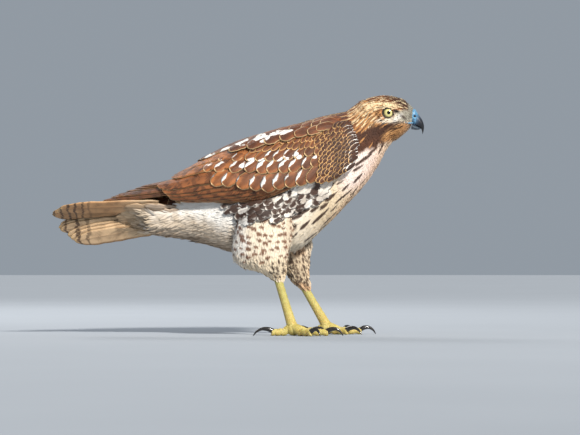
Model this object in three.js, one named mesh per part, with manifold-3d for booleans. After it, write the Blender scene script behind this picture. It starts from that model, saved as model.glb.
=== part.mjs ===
// A young red-tailed hawk standing upright and alert, life size, as a museum shows it.
// Millimetres, +X towards the bill, +Y the bird's left, +Z up, feet flat on the floor.
import * as THREE from "three";
import { ParametricGeometry } from "three/addons/geometries/ParametricGeometry.js";
import { mergeVertices } from "three/addons/utils/BufferGeometryUtils.js";
import Module from "manifold-3d";

const wasm = await Module();
wasm.setup();

// Driving dimensions. X runs from the middle between the feet, Z from the floor.
const gap = 0.35; // between neighbouring pieces
const weld = 0.02; // corners closer than this are one
const tailTipX = -353;
const eyeAt = { x: 115.5, y: 18, z: 310 };
const eyeballRadius = 9.6;
const lidRadius = 7.9;
const lidThickness = 1.7;
const tailRoot = { x: -195, z: 172 };
const tailDip = 5; // degrees below level
const tailRoll = 46; // degrees, right edge up
const shorterSide = 7; // the left feathers end this much before the right ones
const rectrixWidth = 30;
const rectrixLayer = 1.7;
const tarsusRadius = 5.6;
const toeRadius = 4.9;
const featherDepth = 2.4; // how far the folded wing feathers stand above its envelope
const floorZ = 0;

const degrees = Math.PI / 180;
const lerp = THREE.MathUtils.lerp;
const clamp = THREE.MathUtils.clamp;

// Small tools for numbers, surfaces and solids.

// A smooth run through the rows of a station list, where t counts the rows.
function along(rows, t) {
  const i = clamp(Math.floor(t), 0, rows.length - 2);
  const u = clamp(t - i, 0, 1);
  const [a, b, c, d] = [i - 1, i, i + 1, i + 2].map((k) => rows[clamp(k, 0, rows.length - 1)]);
  return b.map((_, k) => {
    const pull = (c[k] - a[k]) / 2;
    const push = (d[k] - b[k]) / 2;
    const square = u * u;
    const cube = square * u;
    return (2 * cube - 3 * square + 1) * b[k] + (cube - 2 * square + u) * pull
      + (3 * square - 2 * cube) * c[k] + (cube - square) * push;
  });
}

// The same for rows that start with their own place x, in rising or falling order.
function rowsAt(rows, x) {
  const rising = rows[1][0] > rows[0][0];
  let i = 0;
  while (i < rows.length - 2 && (rising ? x > rows[i + 1][0] : x < rows[i + 1][0])) i += 1;
  const u = (x - rows[i][0]) / (rows[i + 1][0] - rows[i][0]);
  return along(rows, i + clamp(u, 0, 1));
}

function withoutSlivers(geometry) {
  const index = geometry.index.array;
  const kept = [];
  for (let i = 0; i < index.length; i += 3) {
    const [a, b, c] = [index[i], index[i + 1], index[i + 2]];
    if (a !== b && b !== c && c !== a) kept.push(a, b, c);
  }
  geometry.setIndex(kept);
  return geometry;
}

function bare(geometry, nearest) {
  const copy = geometry.clone();
  copy.deleteAttribute("normal");
  copy.deleteAttribute("uv");
  return withoutSlivers(mergeVertices(copy, nearest));
}

function solid(geometry, nearest = 1e-4) {
  const clean = bare(geometry, nearest);
  const make = (triVerts) => new wasm.Manifold(new wasm.Mesh({
    numProp: 3,
    vertProperties: new Float32Array(clean.attributes.position.array),
    triVerts,
  }));
  const index = Uint32Array.from(clean.index.array);
  const body = make(index);
  if (body.volume() > 0) return body;
  for (let i = 0; i < index.length; i += 3) [index[i], index[i + 1]] = [index[i + 1], index[i]];
  return make(index);
}

function joined(pieces) {
  return pieces.slice(1).reduce((whole, piece) => whole.add(piece), pieces[0]);
}

// Only the largest closed surface of a body: loose scraps go and sealed hollows fill.
function largest(body) {
  let best = body;
  for (let pass = 0; pass < 3; pass += 1) {
    const shells = solid(geometryOf(best), weld).decompose();
    best = shells.reduce((most, shell) => (shell.volume() > most.volume() ? shell : most));
  }
  return best;
}

function geometryOf(body) {
  const mesh = body.getMesh();
  const geometry = new THREE.BufferGeometry();
  geometry.setAttribute("position", new THREE.BufferAttribute(new Float32Array(mesh.vertProperties), 3));
  geometry.setIndex(Array.from(mesh.triVerts));
  geometry.computeVertexNormals();
  return geometry;
}

// A closed skin of rings: ring(t, angle) gives its points, and each end closes on its middle.
function ringed(ring, rings, sides) {
  const middle = (t) => {
    const sum = new THREE.Vector3();
    for (let k = 0; k < sides; k += 1) sum.add(ring(t, (k / sides) * 2 * Math.PI));
    return sum.divideScalar(sides);
  };
  const ends = [middle(0), middle(1)];
  const surface = (u, v, target) => {
    const row = Math.round(v * (rings + 2)) - 1;
    if (row < 0) return target.copy(ends[0]);
    if (row > rings) return target.copy(ends[1]);
    const turn = Math.round(u * sides) % sides;
    return target.copy(ring(row / rings, (turn / sides) * 2 * Math.PI));
  };
  return solid(new ParametricGeometry(surface, sides, rings + 2));
}

// Side of a rounded section: a circle at 2, squarer above that.
const rounded = (value, power) => Math.sign(value) * Math.abs(value) ** (2 / power);

// Trunk, neck and head: each row holds the back point, the belly point, the half width
// and how square the section is, from the tail coverts to the face.
const bodyRows = [
  [-195, 194, -195, 138, 25, 2],
  [-164, 209, -162, 133, 29, 2],
  [-136, 227, -128, 124, 36, 2],
  [-108, 249, -92, 114, 46, 2.1],
  [-77, 270, -46, 113, 54, 2.2],
  [-44, 286, -4, 123, 57, 2.2],
  [-7, 297, 32, 154, 56, 2.2],
  [24, 306, 60, 183, 51, 2.2],
  [46, 311, 82, 207, 43.5, 2.1],
  [60, 316.5, 102, 235, 37, 2],
  [73, 325, 116, 260, 31, 2],
  [86, 332, 127, 272, 29.5, 2.1],
  [101, 335, 135, 278, 28.5, 2.2],
  [117, 335, 141, 283.5, 27, 2.3],
  [133, 331, 144, 287, 22, 2.3],
  [144, 325, 147, 289.5, 15.5, 2.2],
  [153, 316.5, 148, 290.5, 10, 2.1],
];
const neckStart = 8.6;
const headStart = 10.4;
const faceEnd = bodyRows.length - 1;

function bodyPoint(t, angle, grow = 0) {
  const [backX, backZ, bellyX, bellyZ, halfWidth, power] = along(bodyRows, t);
  const up = new THREE.Vector3((backX - bellyX) / 2, 0, (backZ - bellyZ) / 2);
  const height = up.length();
  const lift = (rounded(Math.cos(angle), power) * (height + grow)) / height;
  const side = rounded(Math.sin(angle), power) * (halfWidth + grow);
  return new THREE.Vector3((backX + bellyX) / 2, side, (backZ + bellyZ) / 2).addScaledVector(up, lift);
}

function bodyLength(from, to, rings, sides, grow = 0) {
  return ringed((t, angle) => bodyPoint(lerp(from, to, t), angle, grow), rings, sides);
}

// Rows of a bill: culmen point, lower point, half width, squareness.
function bladeSolid(rows, rings, sides, grow = 0) {
  return ringed((t, angle) => {
    const [topX, topZ, lowX, lowZ, halfWidth, power] = along(rows, t * (rows.length - 1));
    const up = new THREE.Vector3((topX - lowX) / 2, 0, (topZ - lowZ) / 2);
    const height = up.length();
    const lift = (rounded(Math.cos(angle), power) * (height + grow)) / height;
    const side = rounded(Math.sin(angle), power) * (halfWidth + grow);
    return new THREE.Vector3((topX + lowX) / 2, side, (topZ + lowZ) / 2).addScaledVector(up, lift);
  }, rings, sides);
}

const cereRows = [
  [153.7, 316, 150, 296.8, 9.8, 2.2],
  [155.5, 313.4, 151.6, 295.4, 9.2, 2.2],
  [157, 311, 153, 294.3, 8.4, 2.2],
];
const billRows = [
  [157.4, 310.6, 153.4, 294, 8.2, 2],
  [161.4, 305.6, 158, 291.8, 6.6, 2],
  [164.9, 299.7, 161.3, 290, 4.9, 2],
  [166.7, 293.3, 163, 287.8, 3.1, 2],
  [166.5, 287.5, 164, 285, 1.6, 2],
  [165, 281.6, 164.6, 281.2, 0.35, 2],
];
const mandibleRows = [
  [149.9, 295.6, 148.7, 288, 8, 2.2],
  [154, 293.6, 154.4, 287, 6.2, 2],
  [159, 291.4, 159.4, 287.4, 3.8, 2],
  [162, 289.8, 162, 288.6, 0.8, 2],
];

const sides = { right: -1, left: 1 };

function ball(x, y, z, radius, stretch = [1, 1, 1], turn = [0, 0, 0], detail = [16, 10]) {
  const shape = new THREE.SphereGeometry(radius, detail[0], detail[1]);
  const move = new THREE.Matrix4().compose(
    new THREE.Vector3(x, y, z),
    new THREE.Quaternion().setFromEuler(new THREE.Euler(...turn)),
    new THREE.Vector3(...stretch),
  );
  return solid(shape.applyMatrix4(move));
}

function eyeball(side, grow = 0) {
  return ball(eyeAt.x, side * eyeAt.y, eyeAt.z, eyeballRadius + grow, [1, 1, 1], [0, 0, 0], [16, 10]);
}

// The hollow of the face that the eye sits in.
function orbit(side) {
  return ball(eyeAt.x + 2, side * 28.5, eyeAt.z - 1, 1, [13, 4.6, 10], [0, 0, side * -8 * degrees], [12, 6]);
}

// Both lids as one soft ring round the eye, a little longer than high.
function lids(side) {
  const ring = new THREE.TorusGeometry(lidRadius, lidThickness, 5, 13);
  ring.scale(1.06, 0.94, 1);
  ring.rotateX(Math.PI / 2);
  ring.rotateZ(side * -8 * degrees);
  ring.translate(eyeAt.x, side * (eyeAt.y + 6), eyeAt.z);
  return solid(ring);
}

function brow(side) {
  return ball(eyeAt.x + 5, side * (eyeAt.y + 5.4), eyeAt.z + 9.6, 1, [14.5, 3.4, 2.6],
    [0, 14 * degrees, side * -14 * degrees], [10, 5]);
}

// The corner of the mouth: a low fold that runs back from the bill under the eye.
function gape(side) {
  const line = new THREE.CatmullRomCurve3([
    new THREE.Vector3(129, side * 22.6, 298.5),
    new THREE.Vector3(138, side * 18.6, 296.8),
    new THREE.Vector3(144.4, side * 13.4, 295.4),
  ]);
  const shape = new THREE.Shape().absellipse(0, 0, 1.5, 1.1, 0, 2 * Math.PI);
  return solid(new THREE.ExtrudeGeometry(shape, { steps: 4, extrudePath: line, curveSegments: 3 }));
}

function nostril(side) {
  return ball(153.6, side * 8.6, 305.6, 1, [1.9, 3.2, 1.5], [0, 0, 0], [8, 5]);
}

// The folded wing lies on a rounded envelope: x, ridge height, middle height, half width.
const wingRows = [
  [73, 323, 245, 49],
  [66, 319, 241.5, 54],
  [54, 314, 236, 59],
  [38, 311, 229, 64],
  [16, 304, 221, 67.5],
  [-10, 296, 214.5, 69.5],
  [-49, 285, 211.5, 70],
  [-91, 269, 210, 65.5],
  [-133, 247.5, 205.5, 57],
  [-175, 226, 197, 46.5],
  [-217, 212, 191, 37],
  [-259, 201, 187, 29],
  [-290, 192.5, 183.5, 22],
];

// The edges of the wing: x, upper and lower edge as angles from the ridge, depth of the flesh,
// and how far the feathers stand above the envelope along the upper edge.
const edgeRows = [
  [73, 87, 87, 1.5, 1],
  [66, 68, 95, 5, 2],
  [54, 54, 96, 8, 2.4],
  [38, 45, 97, 9.5, 2.4],
  [16, 36, 97, 10, 2.4],
  [-10, 27, 102, 10, 3],
  [-49, 17, 105, 9.5, 6],
  [-91, 11, 109, 9, 9],
  [-133, 7, 112, 8, 8],
  [-175, 6, 110, 5, 4],
  [-217, 10, 97, 3, 3],
  [-259, 26, 82, 1.4, 2],
  [-288, 50, 70, 1, 0.6],
];

function wingPoint(x, angle, lift) {
  const [, top, centre, halfWidth] = rowsAt(wingRows, x);
  const turn = angle * degrees;
  const side = (halfWidth + lift) * Math.sin(turn);
  return new THREE.Vector3(x, -Math.max(side, 0.6), centre + (top - centre + lift) * Math.cos(turn));
}

// Flesh and folded feathers as one smooth form, out to the tips of the flight feathers.
function wingSolid() {
  return ringed((t, angle) => {
    const x = lerp(edgeRows[0][0], edgeRows.at(-1)[0], t ** 1.25);
    const [, upper, lower, depth, ridgeFeathers] = rowsAt(edgeRows, x);
    const outer = angle < Math.PI;
    const share = outer ? angle / Math.PI : 2 - angle / Math.PI;
    const hollow = depth * (1 - (2 * share - 1) ** 4);
    const raised = lerp(ridgeFeathers, featherDepth, share) * (1 - (2 * share - 1) ** 8);
    return wingPoint(x, lerp(upper, lower, share), outer ? raised : -hollow - 0.7);
  }, 26, 28);
}

// One feather: a thin blade with a raised quill line that lies on a surface, from a narrow
// sunk root to a rounded tip. Both faces are split into the same triangles.
function vane({ surface, scale, root, tip, width, lift, roll = 0, bow = 0, thick = 1, steps = 5, point = 2,
  neck = 0.4 }) {
  const section = (t) => {
    const u = 1 - (1 - t) ** 1.6;
    const x = lerp(root[0], tip[0], u);
    const perUnit = scale(x);
    const across = lerp(root[1], tip[1], u) + (bow * Math.sin(Math.PI * u)) / perUnit;
    const run = tip[0] - root[0];
    const climb = (tip[1] - root[1]) * perUnit;
    const length = Math.hypot(run, climb);
    const swell = Math.min(1, neck + 1.5 * u);
    const close = u > 0.72 ? Math.max(0, 1 - ((u - 0.72) / 0.28) ** point) ** 0.5 : 1;
    const half = Math.max(0.06, (width / 2) * swell * close);
    const height = u < 0.5 ? lerp(lift[0], lift[1], u * 2) : lerp(lift[1], lift[2], u * 2 - 1);
    return { x, across, height, sideX: (-climb / length) * half, sideQ: ((run / length) * half) / perUnit,
      body: (thick / 2) * Math.max(0.25, close) };
  };
  return ringed((t, angle) => {
    const s = section(t);
    const edge = Math.cos(angle);
    const face = Math.sin(angle);
    return surface(s.x + s.sideX * edge, s.across + s.sideQ * edge, s.height + roll * edge + s.body * face);
  }, steps, 4);
}

const solids = {};
solids.torso = bodyLength(0, neckStart, 18, 18);
solids.neck = bodyLength(neckStart + 0.025, headStart, 4, 18);
solids.cere = bladeSolid(cereRows, 3, 14);
solids.bill_upper = bladeSolid(billRows, 9, 14);
solids.bill_lower = bladeSolid(mandibleRows, 5, 12).subtract(bladeSolid(billRows, 9, 14, gap))
  .subtract(bladeSolid(cereRows, 3, 14, gap));

let skull = bodyLength(headStart + 0.03, faceEnd - 0.02, 10, 18);
for (const [name, side] of Object.entries(sides)) {
  skull = joined([skull.subtract(orbit(side)), lids(side), brow(side), gape(side)]).subtract(eyeball(side, gap));
  solids[`eye_${name}`] = eyeball(side);
}
solids.head = largest(skull);
for (const side of Object.values(sides)) solids.cere = solids.cere.subtract(nostril(side));

// The thighs in their loose feathering, and what lies below them. Rows from the top down:
// height, middle x, half length, distance of the middle from the bird's plane, half width.
const legs = {
  right: {
    side: -1,
    thigh: [
      [188, -54, 4, 52, 3], [182, -54, 26, 50, 14], [160, -55, 36, 45, 22], [134, -59, 40, 42, 25],
      [114, -61.5, 38.5, 40, 24], [101, -57.5, 32, 38, 20], [90, -46, 19, 36, 13], [79, -37.5, 9, 35, 9],
    ],
    heel: [-43, 34, 96],
    ankle: [-18, 38, 13],
  },
  left: {
    side: 1,
    thigh: [
      [188, -40, 4, 52, 3], [182, -40, 26, 50, 14], [160, -34, 36, 45, 22], [134, -28, 37, 42, 25],
      [114, -22, 29.5, 40, 23], [96, -14, 20, 38, 18], [79, -8, 14, 36, 12], [66, 0.5, 8.5, 35, 8.5],
    ],
    heel: [-10, 34, 82],
    ankle: [30, 38, 13],
  },
};

function thighSolid({ side, thigh }, grow = 0) {
  return ringed((t, angle) => {
    const [z, x, halfLength, y, halfWidth] = along(thigh, t * (thigh.length - 1));
    return new THREE.Vector3(
      x + (halfLength + grow) * Math.cos(angle),
      side * y + (halfWidth + grow) * Math.sin(angle),
      z,
    );
  }, 9, 14);
}

// A round limb along a list of points, each with its radius.
function limb(points, rings, facets, grow = 0) {
  const path = new THREE.CatmullRomCurve3(points.map(([x, y, z]) => new THREE.Vector3(x, y, z)));
  const radii = points.map((point) => [point[3]]);
  return ringed((t, angle) => {
    const at = path.getPoint(t);
    const tangent = path.getTangent(t);
    const across = new THREE.Vector3(0, 0, 1).cross(tangent);
    if (across.length() < 0.3) across.set(0, 1, 0);
    across.normalize();
    const up = tangent.clone().cross(across).normalize();
    const radius = along(radii, t * (radii.length - 1))[0] + grow;
    return at.addScaledVector(across, radius * Math.cos(angle)).addScaledVector(up, radius * Math.sin(angle));
  }, rings, facets);
}

function tarsusSolid({ side, heel, ankle }, grow = 0) {
  const point = (t, radius) => [lerp(heel[0], ankle[0], t), side * lerp(heel[1], ankle[1], t),
    lerp(heel[2], ankle[2], t), radius];
  return limb([point(0, tarsusRadius + 1), point(0.2, tarsusRadius), point(0.55, tarsusRadius + 0.2),
    point(0.85, tarsusRadius + 1), point(1, tarsusRadius + 2)], 4, 10, grow);
}

// Toes: turn from straight ahead towards the bird's outside, length, claw length.
const toes = {
  middle: { turn: 6, length: 50, claw: 22 },
  inner: { turn: -34, length: 36, claw: 25 },
  outer: { turn: 48, length: 40, claw: 19 },
  hind: { turn: 172, length: 29, claw: 27 },
};

function toePoint({ side, ankle }, { turn }, reach, z) {
  const heading = turn * degrees;
  return [ankle[0] + reach * Math.cos(heading), side * (ankle[1] + reach * Math.sin(heading)), z];
}

function toeSolid(leg, toe, grow = 0) {
  const at = (share, z, radius) => [...toePoint(leg, toe, toe.length * share, z), radius];
  return limb([at(0.06, 10.5, 6.2), at(0.26, 8.6, 5.6), at(0.42, 4.5, toeRadius), at(0.56, 6, toeRadius - 0.5),
    at(0.7, 4.5, toeRadius), at(0.84, 5.4, toeRadius - 0.7), at(1, 4.1, toeRadius - 0.5)], 6, 8, grow);
}

function clawSolid(leg, toe) {
  const at = (share, z, radius) => [...toePoint(leg, toe, toe.length + toe.claw * share, z), radius];
  return limb([at(-0.08, 6.6, 3.4), at(0.2, 9.4, 3.1), at(0.5, 9.6, 2.3), at(0.76, 6.2, 1.5), at(0.94, 0.25, 0.7)],
    5, 6);
}

function footSolid(leg, grow = 0) {
  const [x, y] = leg.ankle;
  const pad = ball(x + 2, leg.side * y, 8, 1, [11.5 + grow, 9.5 + grow, 8.6 + grow], [0, 0, 0], [12, 6]);
  return joined([pad, ...Object.values(toes).map((toe) => toeSolid(leg, toe, grow))]);
}

const padRoom = ({ side, ankle: [x, y] }) => ball(x + 2, side * y, 8, 1, [12, 10, 9.1], [0, 0, 0], [12, 6]);
const belowFloor = solid(new THREE.BoxGeometry(900, 400, 40).translate(0, 0, floorZ - 20));
const trunkRoom = bodyLength(0, neckStart, 18, 18, gap);

const wing = largest(wingSolid().subtract(trunkRoom));
solids.wing_right = wing;
solids.wing_left = wing.mirror([0, 1, 0]);

for (const [name, leg] of Object.entries(legs)) {
  const foot = largest(footSolid(leg).subtract(belowFloor));
  const footRoom = footSolid(leg, gap);
  const tarsus = largest(tarsusSolid(leg).subtract(padRoom(leg)).subtract(footRoom));
  solids[`foot_${name}`] = foot;
  solids[`tarsus_${name}`] = tarsus;
  solids[`thigh_${name}`] = largest(thighSolid(leg).subtract(trunkRoom).subtract(tarsusSolid(leg, gap)));
  for (const [toeName, toe] of Object.entries(toes)) {
    solids[`claw_${name}_${toeName}`] = largest(clawSolid(leg, toe).subtract(footRoom).subtract(belowFloor));
  }
}

// The tail lies on a sheet of its own: distance from its root, distance from its middle line.
const dip = tailDip * degrees;
const rollTurn = tailRoll * degrees;
const tailAlong = new THREE.Vector3(-Math.cos(dip), 0, -Math.sin(dip));
const tailUp = new THREE.Vector3(-Math.sin(dip), 0, Math.cos(dip)).applyAxisAngle(tailAlong, rollTurn);
const tailAcross = tailUp.clone().cross(tailAlong);

function tailPoint(reach, across, lift) {
  return new THREE.Vector3(tailRoot.x, 0, tailRoot.z)
    .addScaledVector(tailAlong, reach)
    .addScaledVector(tailAcross, across)
    .addScaledVector(tailUp, lift - (across * across) / 420);
}

// The twelve tail feathers, the middle pair on top and the outermost pair lowest.
function rectrices() {
  const reach = tailRoot.x - tailTipX;
  return Object.values(sides).flatMap((side) => Array.from({ length: 6 }, (_, i) => {
    const lift = 3.6 - i * rectrixLayer - (side < 0 ? rectrixLayer / 2 : 0);
    return vane({ surface: tailPoint, scale: () => 1, root: [8, side * (3 + i * 3.2)], neck: 0.8,
      tip: [reach - i * 2.4 - (side < 0 ? shorterSide : 0), side * (4 + i * 5.4)], width: rectrixWidth,
      lift: [lift, lift, lift], thick: 0.55, steps: 5, point: 2.6 });
  }));
}

// The long soft feathers over and under the root of the tail, in tiers.
function tailCoverts() {
  const rows = [
    { count: 4, reach: 44, lift: -10.5, spread: 11.5 },
    { count: 3, reach: 33, lift: -15, spread: 11.5 },
    { count: 3, reach: 46, lift: 9.5, spread: 13 },
  ];
  return rows.flatMap(({ count, reach, lift, spread }) => Array.from({ length: count }, (_, i) => {
    const aside = (i - (count - 1) / 2) * spread;
    return vane({ surface: tailPoint, scale: () => 1, root: [3, aside * 0.7], tip: [reach - Math.abs(aside) * 0.5, aside],
      width: 23, lift: [lift, lift * 1.1, lift], roll: 0.5, thick: 1.2, steps: 4 });
  }));
}

// The fleshy root of the tail narrows from the end of the trunk to the sheet of feathers.
const rump = ringed((t, angle) => bodyPoint(0, angle).add(tailAlong.clone().multiplyScalar(gap))
  .lerp(tailPoint(48, -26 * Math.sin(angle), 2.4 * Math.cos(angle)), t ** 0.6), 4, 14);
solids.tail = largest(joined([rump, ...rectrices(), ...tailCoverts()]).subtract(trunkRoom));

// Colours and finish.
const paint = {
  body: [0xd9c4a0, 0.9], back: [0x6b4527, 0.85], tail: [0x8a7358, 0.85], skin: [0xb9b060, 0.6],
  horn: [0x20242b, 0.35], cere: [0x5f9aa6, 0.5], eye: [0xc9cf9a, 0.1],
};
const finishes = Object.fromEntries(Object.entries(paint).map(([name, [color, roughness]]) => [name,
  new THREE.MeshStandardMaterial({ name, color, roughness, metalness: 0 })]));
const finishOf = [[/^(torso|neck|thigh)/, "body"], [/^(head|wing)/, "back"], [/^tail/, "tail"],
  [/^(tarsus|foot)/, "skin"], [/^(claw|bill)/, "horn"], [/^cere/, "cere"], [/^eye/, "eye"]];

const hawk = new THREE.Group();
hawk.name = "red_tailed_hawk";
for (const [name, body] of Object.entries(solids)) {
  const [, finish] = finishOf.find(([pattern]) => pattern.test(name));
  const mesh = new THREE.Mesh(geometryOf(body), finishes[finish]);
  mesh.name = name;
  hawk.add(mesh);
}

// The origin is on the floor, under the middle of the whole bird.
const box = new THREE.Box3().setFromObject(hawk);
const middle = box.getCenter(new THREE.Vector3());
hawk.position.set(-middle.x, -middle.y, -box.min.z);

export default hawk;
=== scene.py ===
# A young red-tailed hawk, life size, standing alert with its wings folded.
# Shapes are worked out in millimetres: x towards the bill, y to the bird's left, z up from the floor.
import math
import bpy
import numpy as np
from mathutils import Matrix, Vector
from mathutils.bvhtree import BVHTree


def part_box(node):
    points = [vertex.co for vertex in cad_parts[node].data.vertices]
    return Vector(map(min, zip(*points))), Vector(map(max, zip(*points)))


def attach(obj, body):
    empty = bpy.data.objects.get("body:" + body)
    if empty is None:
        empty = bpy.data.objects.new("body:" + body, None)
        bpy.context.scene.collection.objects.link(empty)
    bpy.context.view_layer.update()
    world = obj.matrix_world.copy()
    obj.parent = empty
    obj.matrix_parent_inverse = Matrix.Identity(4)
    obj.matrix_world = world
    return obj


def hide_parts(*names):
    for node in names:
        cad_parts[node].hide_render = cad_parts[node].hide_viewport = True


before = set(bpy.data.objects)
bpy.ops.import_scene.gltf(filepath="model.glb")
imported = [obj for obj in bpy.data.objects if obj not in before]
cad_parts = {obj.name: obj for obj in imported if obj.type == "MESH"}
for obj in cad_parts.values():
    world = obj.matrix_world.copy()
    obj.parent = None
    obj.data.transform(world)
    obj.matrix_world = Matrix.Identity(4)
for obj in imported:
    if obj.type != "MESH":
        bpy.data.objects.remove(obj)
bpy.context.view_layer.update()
dice = np.random.default_rng(11)
eye = dict(x=115.5, y=18.0, z=310.0, radius=9.6, iris=6.5, pupil=2.4)
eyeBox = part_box("eye_right")
shift = (eyeBox[0].x + eyeBox[1].x) * 500 - eye["x"]  # from the bird's own origin to the frame's
print("frame loaded, shift", round(shift, 2))


# Small tools for numbers.

def ease(low, high, value):
    t = np.clip((value - low) / (high - low), 0, 1)
    return t * t * (3 - 2 * t)


def unit(v):
    return v / np.maximum(np.linalg.norm(v, axis=-1, keepdims=True), 1e-9)


def roundAngles(count):
    return np.linspace(0, 2 * math.pi, count, endpoint=False)


def alongRows(rows, t):  # a smooth run through the rows of a station list, t counts the rows
    rows = np.asarray(rows, float)
    last = len(rows) - 1
    t = np.clip(np.asarray(t, float), 0, last)
    i = np.clip(np.floor(t).astype(int), 0, last - 1)
    u = (t - i)[..., None]
    a, b, c, d = (rows[np.clip(i + k, 0, last)] for k in (-1, 0, 1, 2))
    pull = (c - a) / 2
    push = (d - b) / 2
    return ((2 * u**3 - 3 * u**2 + 1) * b + (u**3 - 2 * u**2 + u) * pull
            + (3 * u**2 - 2 * u**3) * c + (u**3 - u**2) * push)


def rowsAt(rows, x):  # the same for rows that start with their own place x
    rows = np.asarray(rows, float)
    turn = 1 if rows[-1, 0] > rows[0, 0] else -1
    return alongRows(rows, np.interp(turn * np.asarray(x, float), turn * rows[:, 0], np.arange(len(rows))))


def rounded(value, power):
    return np.sign(value) * np.abs(value) ** (2 / power)


def grain(points, size, seed=0):  # soft noise between -1 and 1
    turns = np.random.default_rng(seed).normal(size=(7, 3))
    waves = np.sin(points @ (turns.T * 2 / size) + np.arange(7) * 1.7)
    return waves.mean(-1) * 1.6


def paint(red, green, blue):  # a colour as seen, 0 to 255, in linear light
    seen = np.array([red, green, blue]) / 255
    return np.where(seen < 0.04045, seen / 12.92, ((seen + 0.055) / 1.055) ** 2.4)


def over(under, colour, mask):
    return under + (np.asarray(colour) - under) * mask[..., None]


# The bird's shape: each row holds the back point, the belly point, the half width and
# how square the section is, from the tail coverts to the face.
bodyRows = [
    (-195, 194, -195, 138, 25, 2), (-164, 209, -162, 133, 29, 2), (-136, 227, -128, 124, 36, 2),
    (-108, 249, -92, 114, 46, 2.1), (-77, 270, -46, 113, 54, 2.2), (-44, 286, -4, 123, 57, 2.2),
    (-7, 297, 32, 154, 56, 2.2), (24, 306, 60, 183, 51, 2.2), (46, 311, 82, 207, 43.5, 2.1),
    (60, 316.5, 102, 235, 37, 2), (73, 325, 116, 260, 31, 2), (86, 332, 127, 272, 29.5, 2.1),
    (101, 335, 135, 278, 28.5, 2.2), (117, 335, 141, 283.5, 27, 2.3), (133, 331, 144, 287, 22, 2.3),
    (144, 325, 147, 289.5, 15.5, 2.2), (153, 316.5, 148, 290.5, 10, 2.1),
]
wingRows = [  # x, ridge height, middle height, half width
    (73, 323, 245, 49), (66, 319, 241.5, 54), (54, 314, 236, 59), (38, 311, 229, 64), (16, 304, 221, 67.5),
    (-10, 296, 214.5, 69.5), (-49, 285, 211.5, 70), (-91, 269, 210, 65.5), (-133, 247.5, 205.5, 57),
    (-175, 226, 197, 46.5), (-217, 212, 191, 37), (-259, 201, 187, 29), (-290, 192.5, 183.5, 22),
]
fleshRows = [  # x, upper and lower edge of the wing's flesh in degrees from the ridge, depth, how sunk
    (73, 87, 87, 1.5, 2), (66, 68, 95, 5, 2.5), (54, 54, 96, 8, 3), (38, 45, 97, 9.5, 3),
    (16, 36, 97, 10, 3),
    (-10, 29, 97, 10, 3), (-49, 19, 98, 9.5, 3), (-91, 13, 96, 13, 3), (-133, 9, 94, 13, 3.6),
    (-160, 11, 84, 6, 5), (-182, 20, 66, 1.2, 7),
]
thighRows = {  # height, middle x, half length, distance of the middle from the bird's plane, half width
    "right": [(188, -54, 4, 52, 3), (182, -54, 26, 50, 14), (160, -55, 36, 45, 22),
              (134, -59, 40, 42, 25), (114, -61.5, 38.5, 40, 24), (101, -57.5, 32, 38, 20),
              (90, -46, 19, 36, 13), (79, -37.5, 9, 35, 9)],
    "left": [(188, -40, 4, 52, 3), (182, -40, 26, 50, 14), (160, -34, 36, 45, 22),
             (134, -28, 37, 42, 25), (114, -22, 29.5, 40, 23), (96, -14, 20, 38, 18),
             (79, -8, 14, 36, 12), (66, 0.5, 8.5, 35, 8.5)],
}
sideSign = {"right": -1, "left": 1}


def sectionPoint(rows, t, angle, grow):
    r = alongRows(rows, t)
    up = np.stack([(r[..., 0] - r[..., 2]) / 2, 0 * r[..., 0], (r[..., 1] - r[..., 3]) / 2], -1)
    height = np.linalg.norm(up, axis=-1)
    lift = rounded(np.cos(angle), r[..., 5]) * (height + grow) / height
    side = rounded(np.sin(angle), r[..., 5]) * (r[..., 4] + grow)
    middle = np.stack([(r[..., 0] + r[..., 2]) / 2, side, (r[..., 1] + r[..., 3]) / 2], -1)
    return middle + up * lift[..., None]


def bodyPoint(t, angle, grow=0.0):
    return sectionPoint(bodyRows, t, angle, grow)


def wingPoint(x, angle, lift):
    r = rowsAt(wingRows, x)
    turn = np.radians(angle)
    side = (r[..., 3] + lift) * np.sin(turn)
    return np.stack([x + 0 * side, -np.maximum(side, 0.6),
                     r[..., 2] + (r[..., 1] - r[..., 2] + lift) * np.cos(turn)], -1)


def wingScale(x):  # millimetres of surface for one degree
    r = rowsAt(wingRows, x)
    return np.radians((r[..., 1] - r[..., 2] + r[..., 3]) / 2)


def onWing(x, z):  # the angle from the ridge at a place of the side view
    r = rowsAt(wingRows, x)
    return np.degrees(np.arccos(np.clip((z - r[..., 2]) / (r[..., 1] - r[..., 2]), -0.98, 0.996)))


def thighPoint(side, t, angle, grow=0.0):
    r = alongRows(thighRows[side], t)
    return np.stack([r[..., 1] + (r[..., 2] + grow) * np.cos(angle),
                     sideSign[side] * r[..., 3] + (r[..., 4] + grow) * np.sin(angle), r[..., 0]], -1)


# The tail lies on a rolled sheet of its own: distance from its root, and from its middle line.
tail = dict(rootX=-195, rootZ=172, dip=5, roll=46, width=27, layer=1.7, curve=420)
dipTurn = math.radians(tail["dip"])
tailAlong = np.array([-math.cos(dipTurn), 0, -math.sin(dipTurn)])
levelUp = np.array([-math.sin(dipTurn), 0, math.cos(dipTurn)])
rollTurn = math.radians(tail["roll"])
tailUp = levelUp * math.cos(rollTurn) + np.cross(tailAlong, levelUp) * math.sin(rollTurn)
tailAcross = np.cross(tailUp, tailAlong)


def tailPoint(reach, across, lift):
    reach, across, lift = np.broadcast_arrays(reach, across, lift)
    return (np.array([tail["rootX"], 0, tail["rootZ"]]) + tailAlong * reach[..., None]
            + tailAcross * across[..., None] + tailUp * (lift - across**2 / tail["curve"])[..., None])


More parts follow.
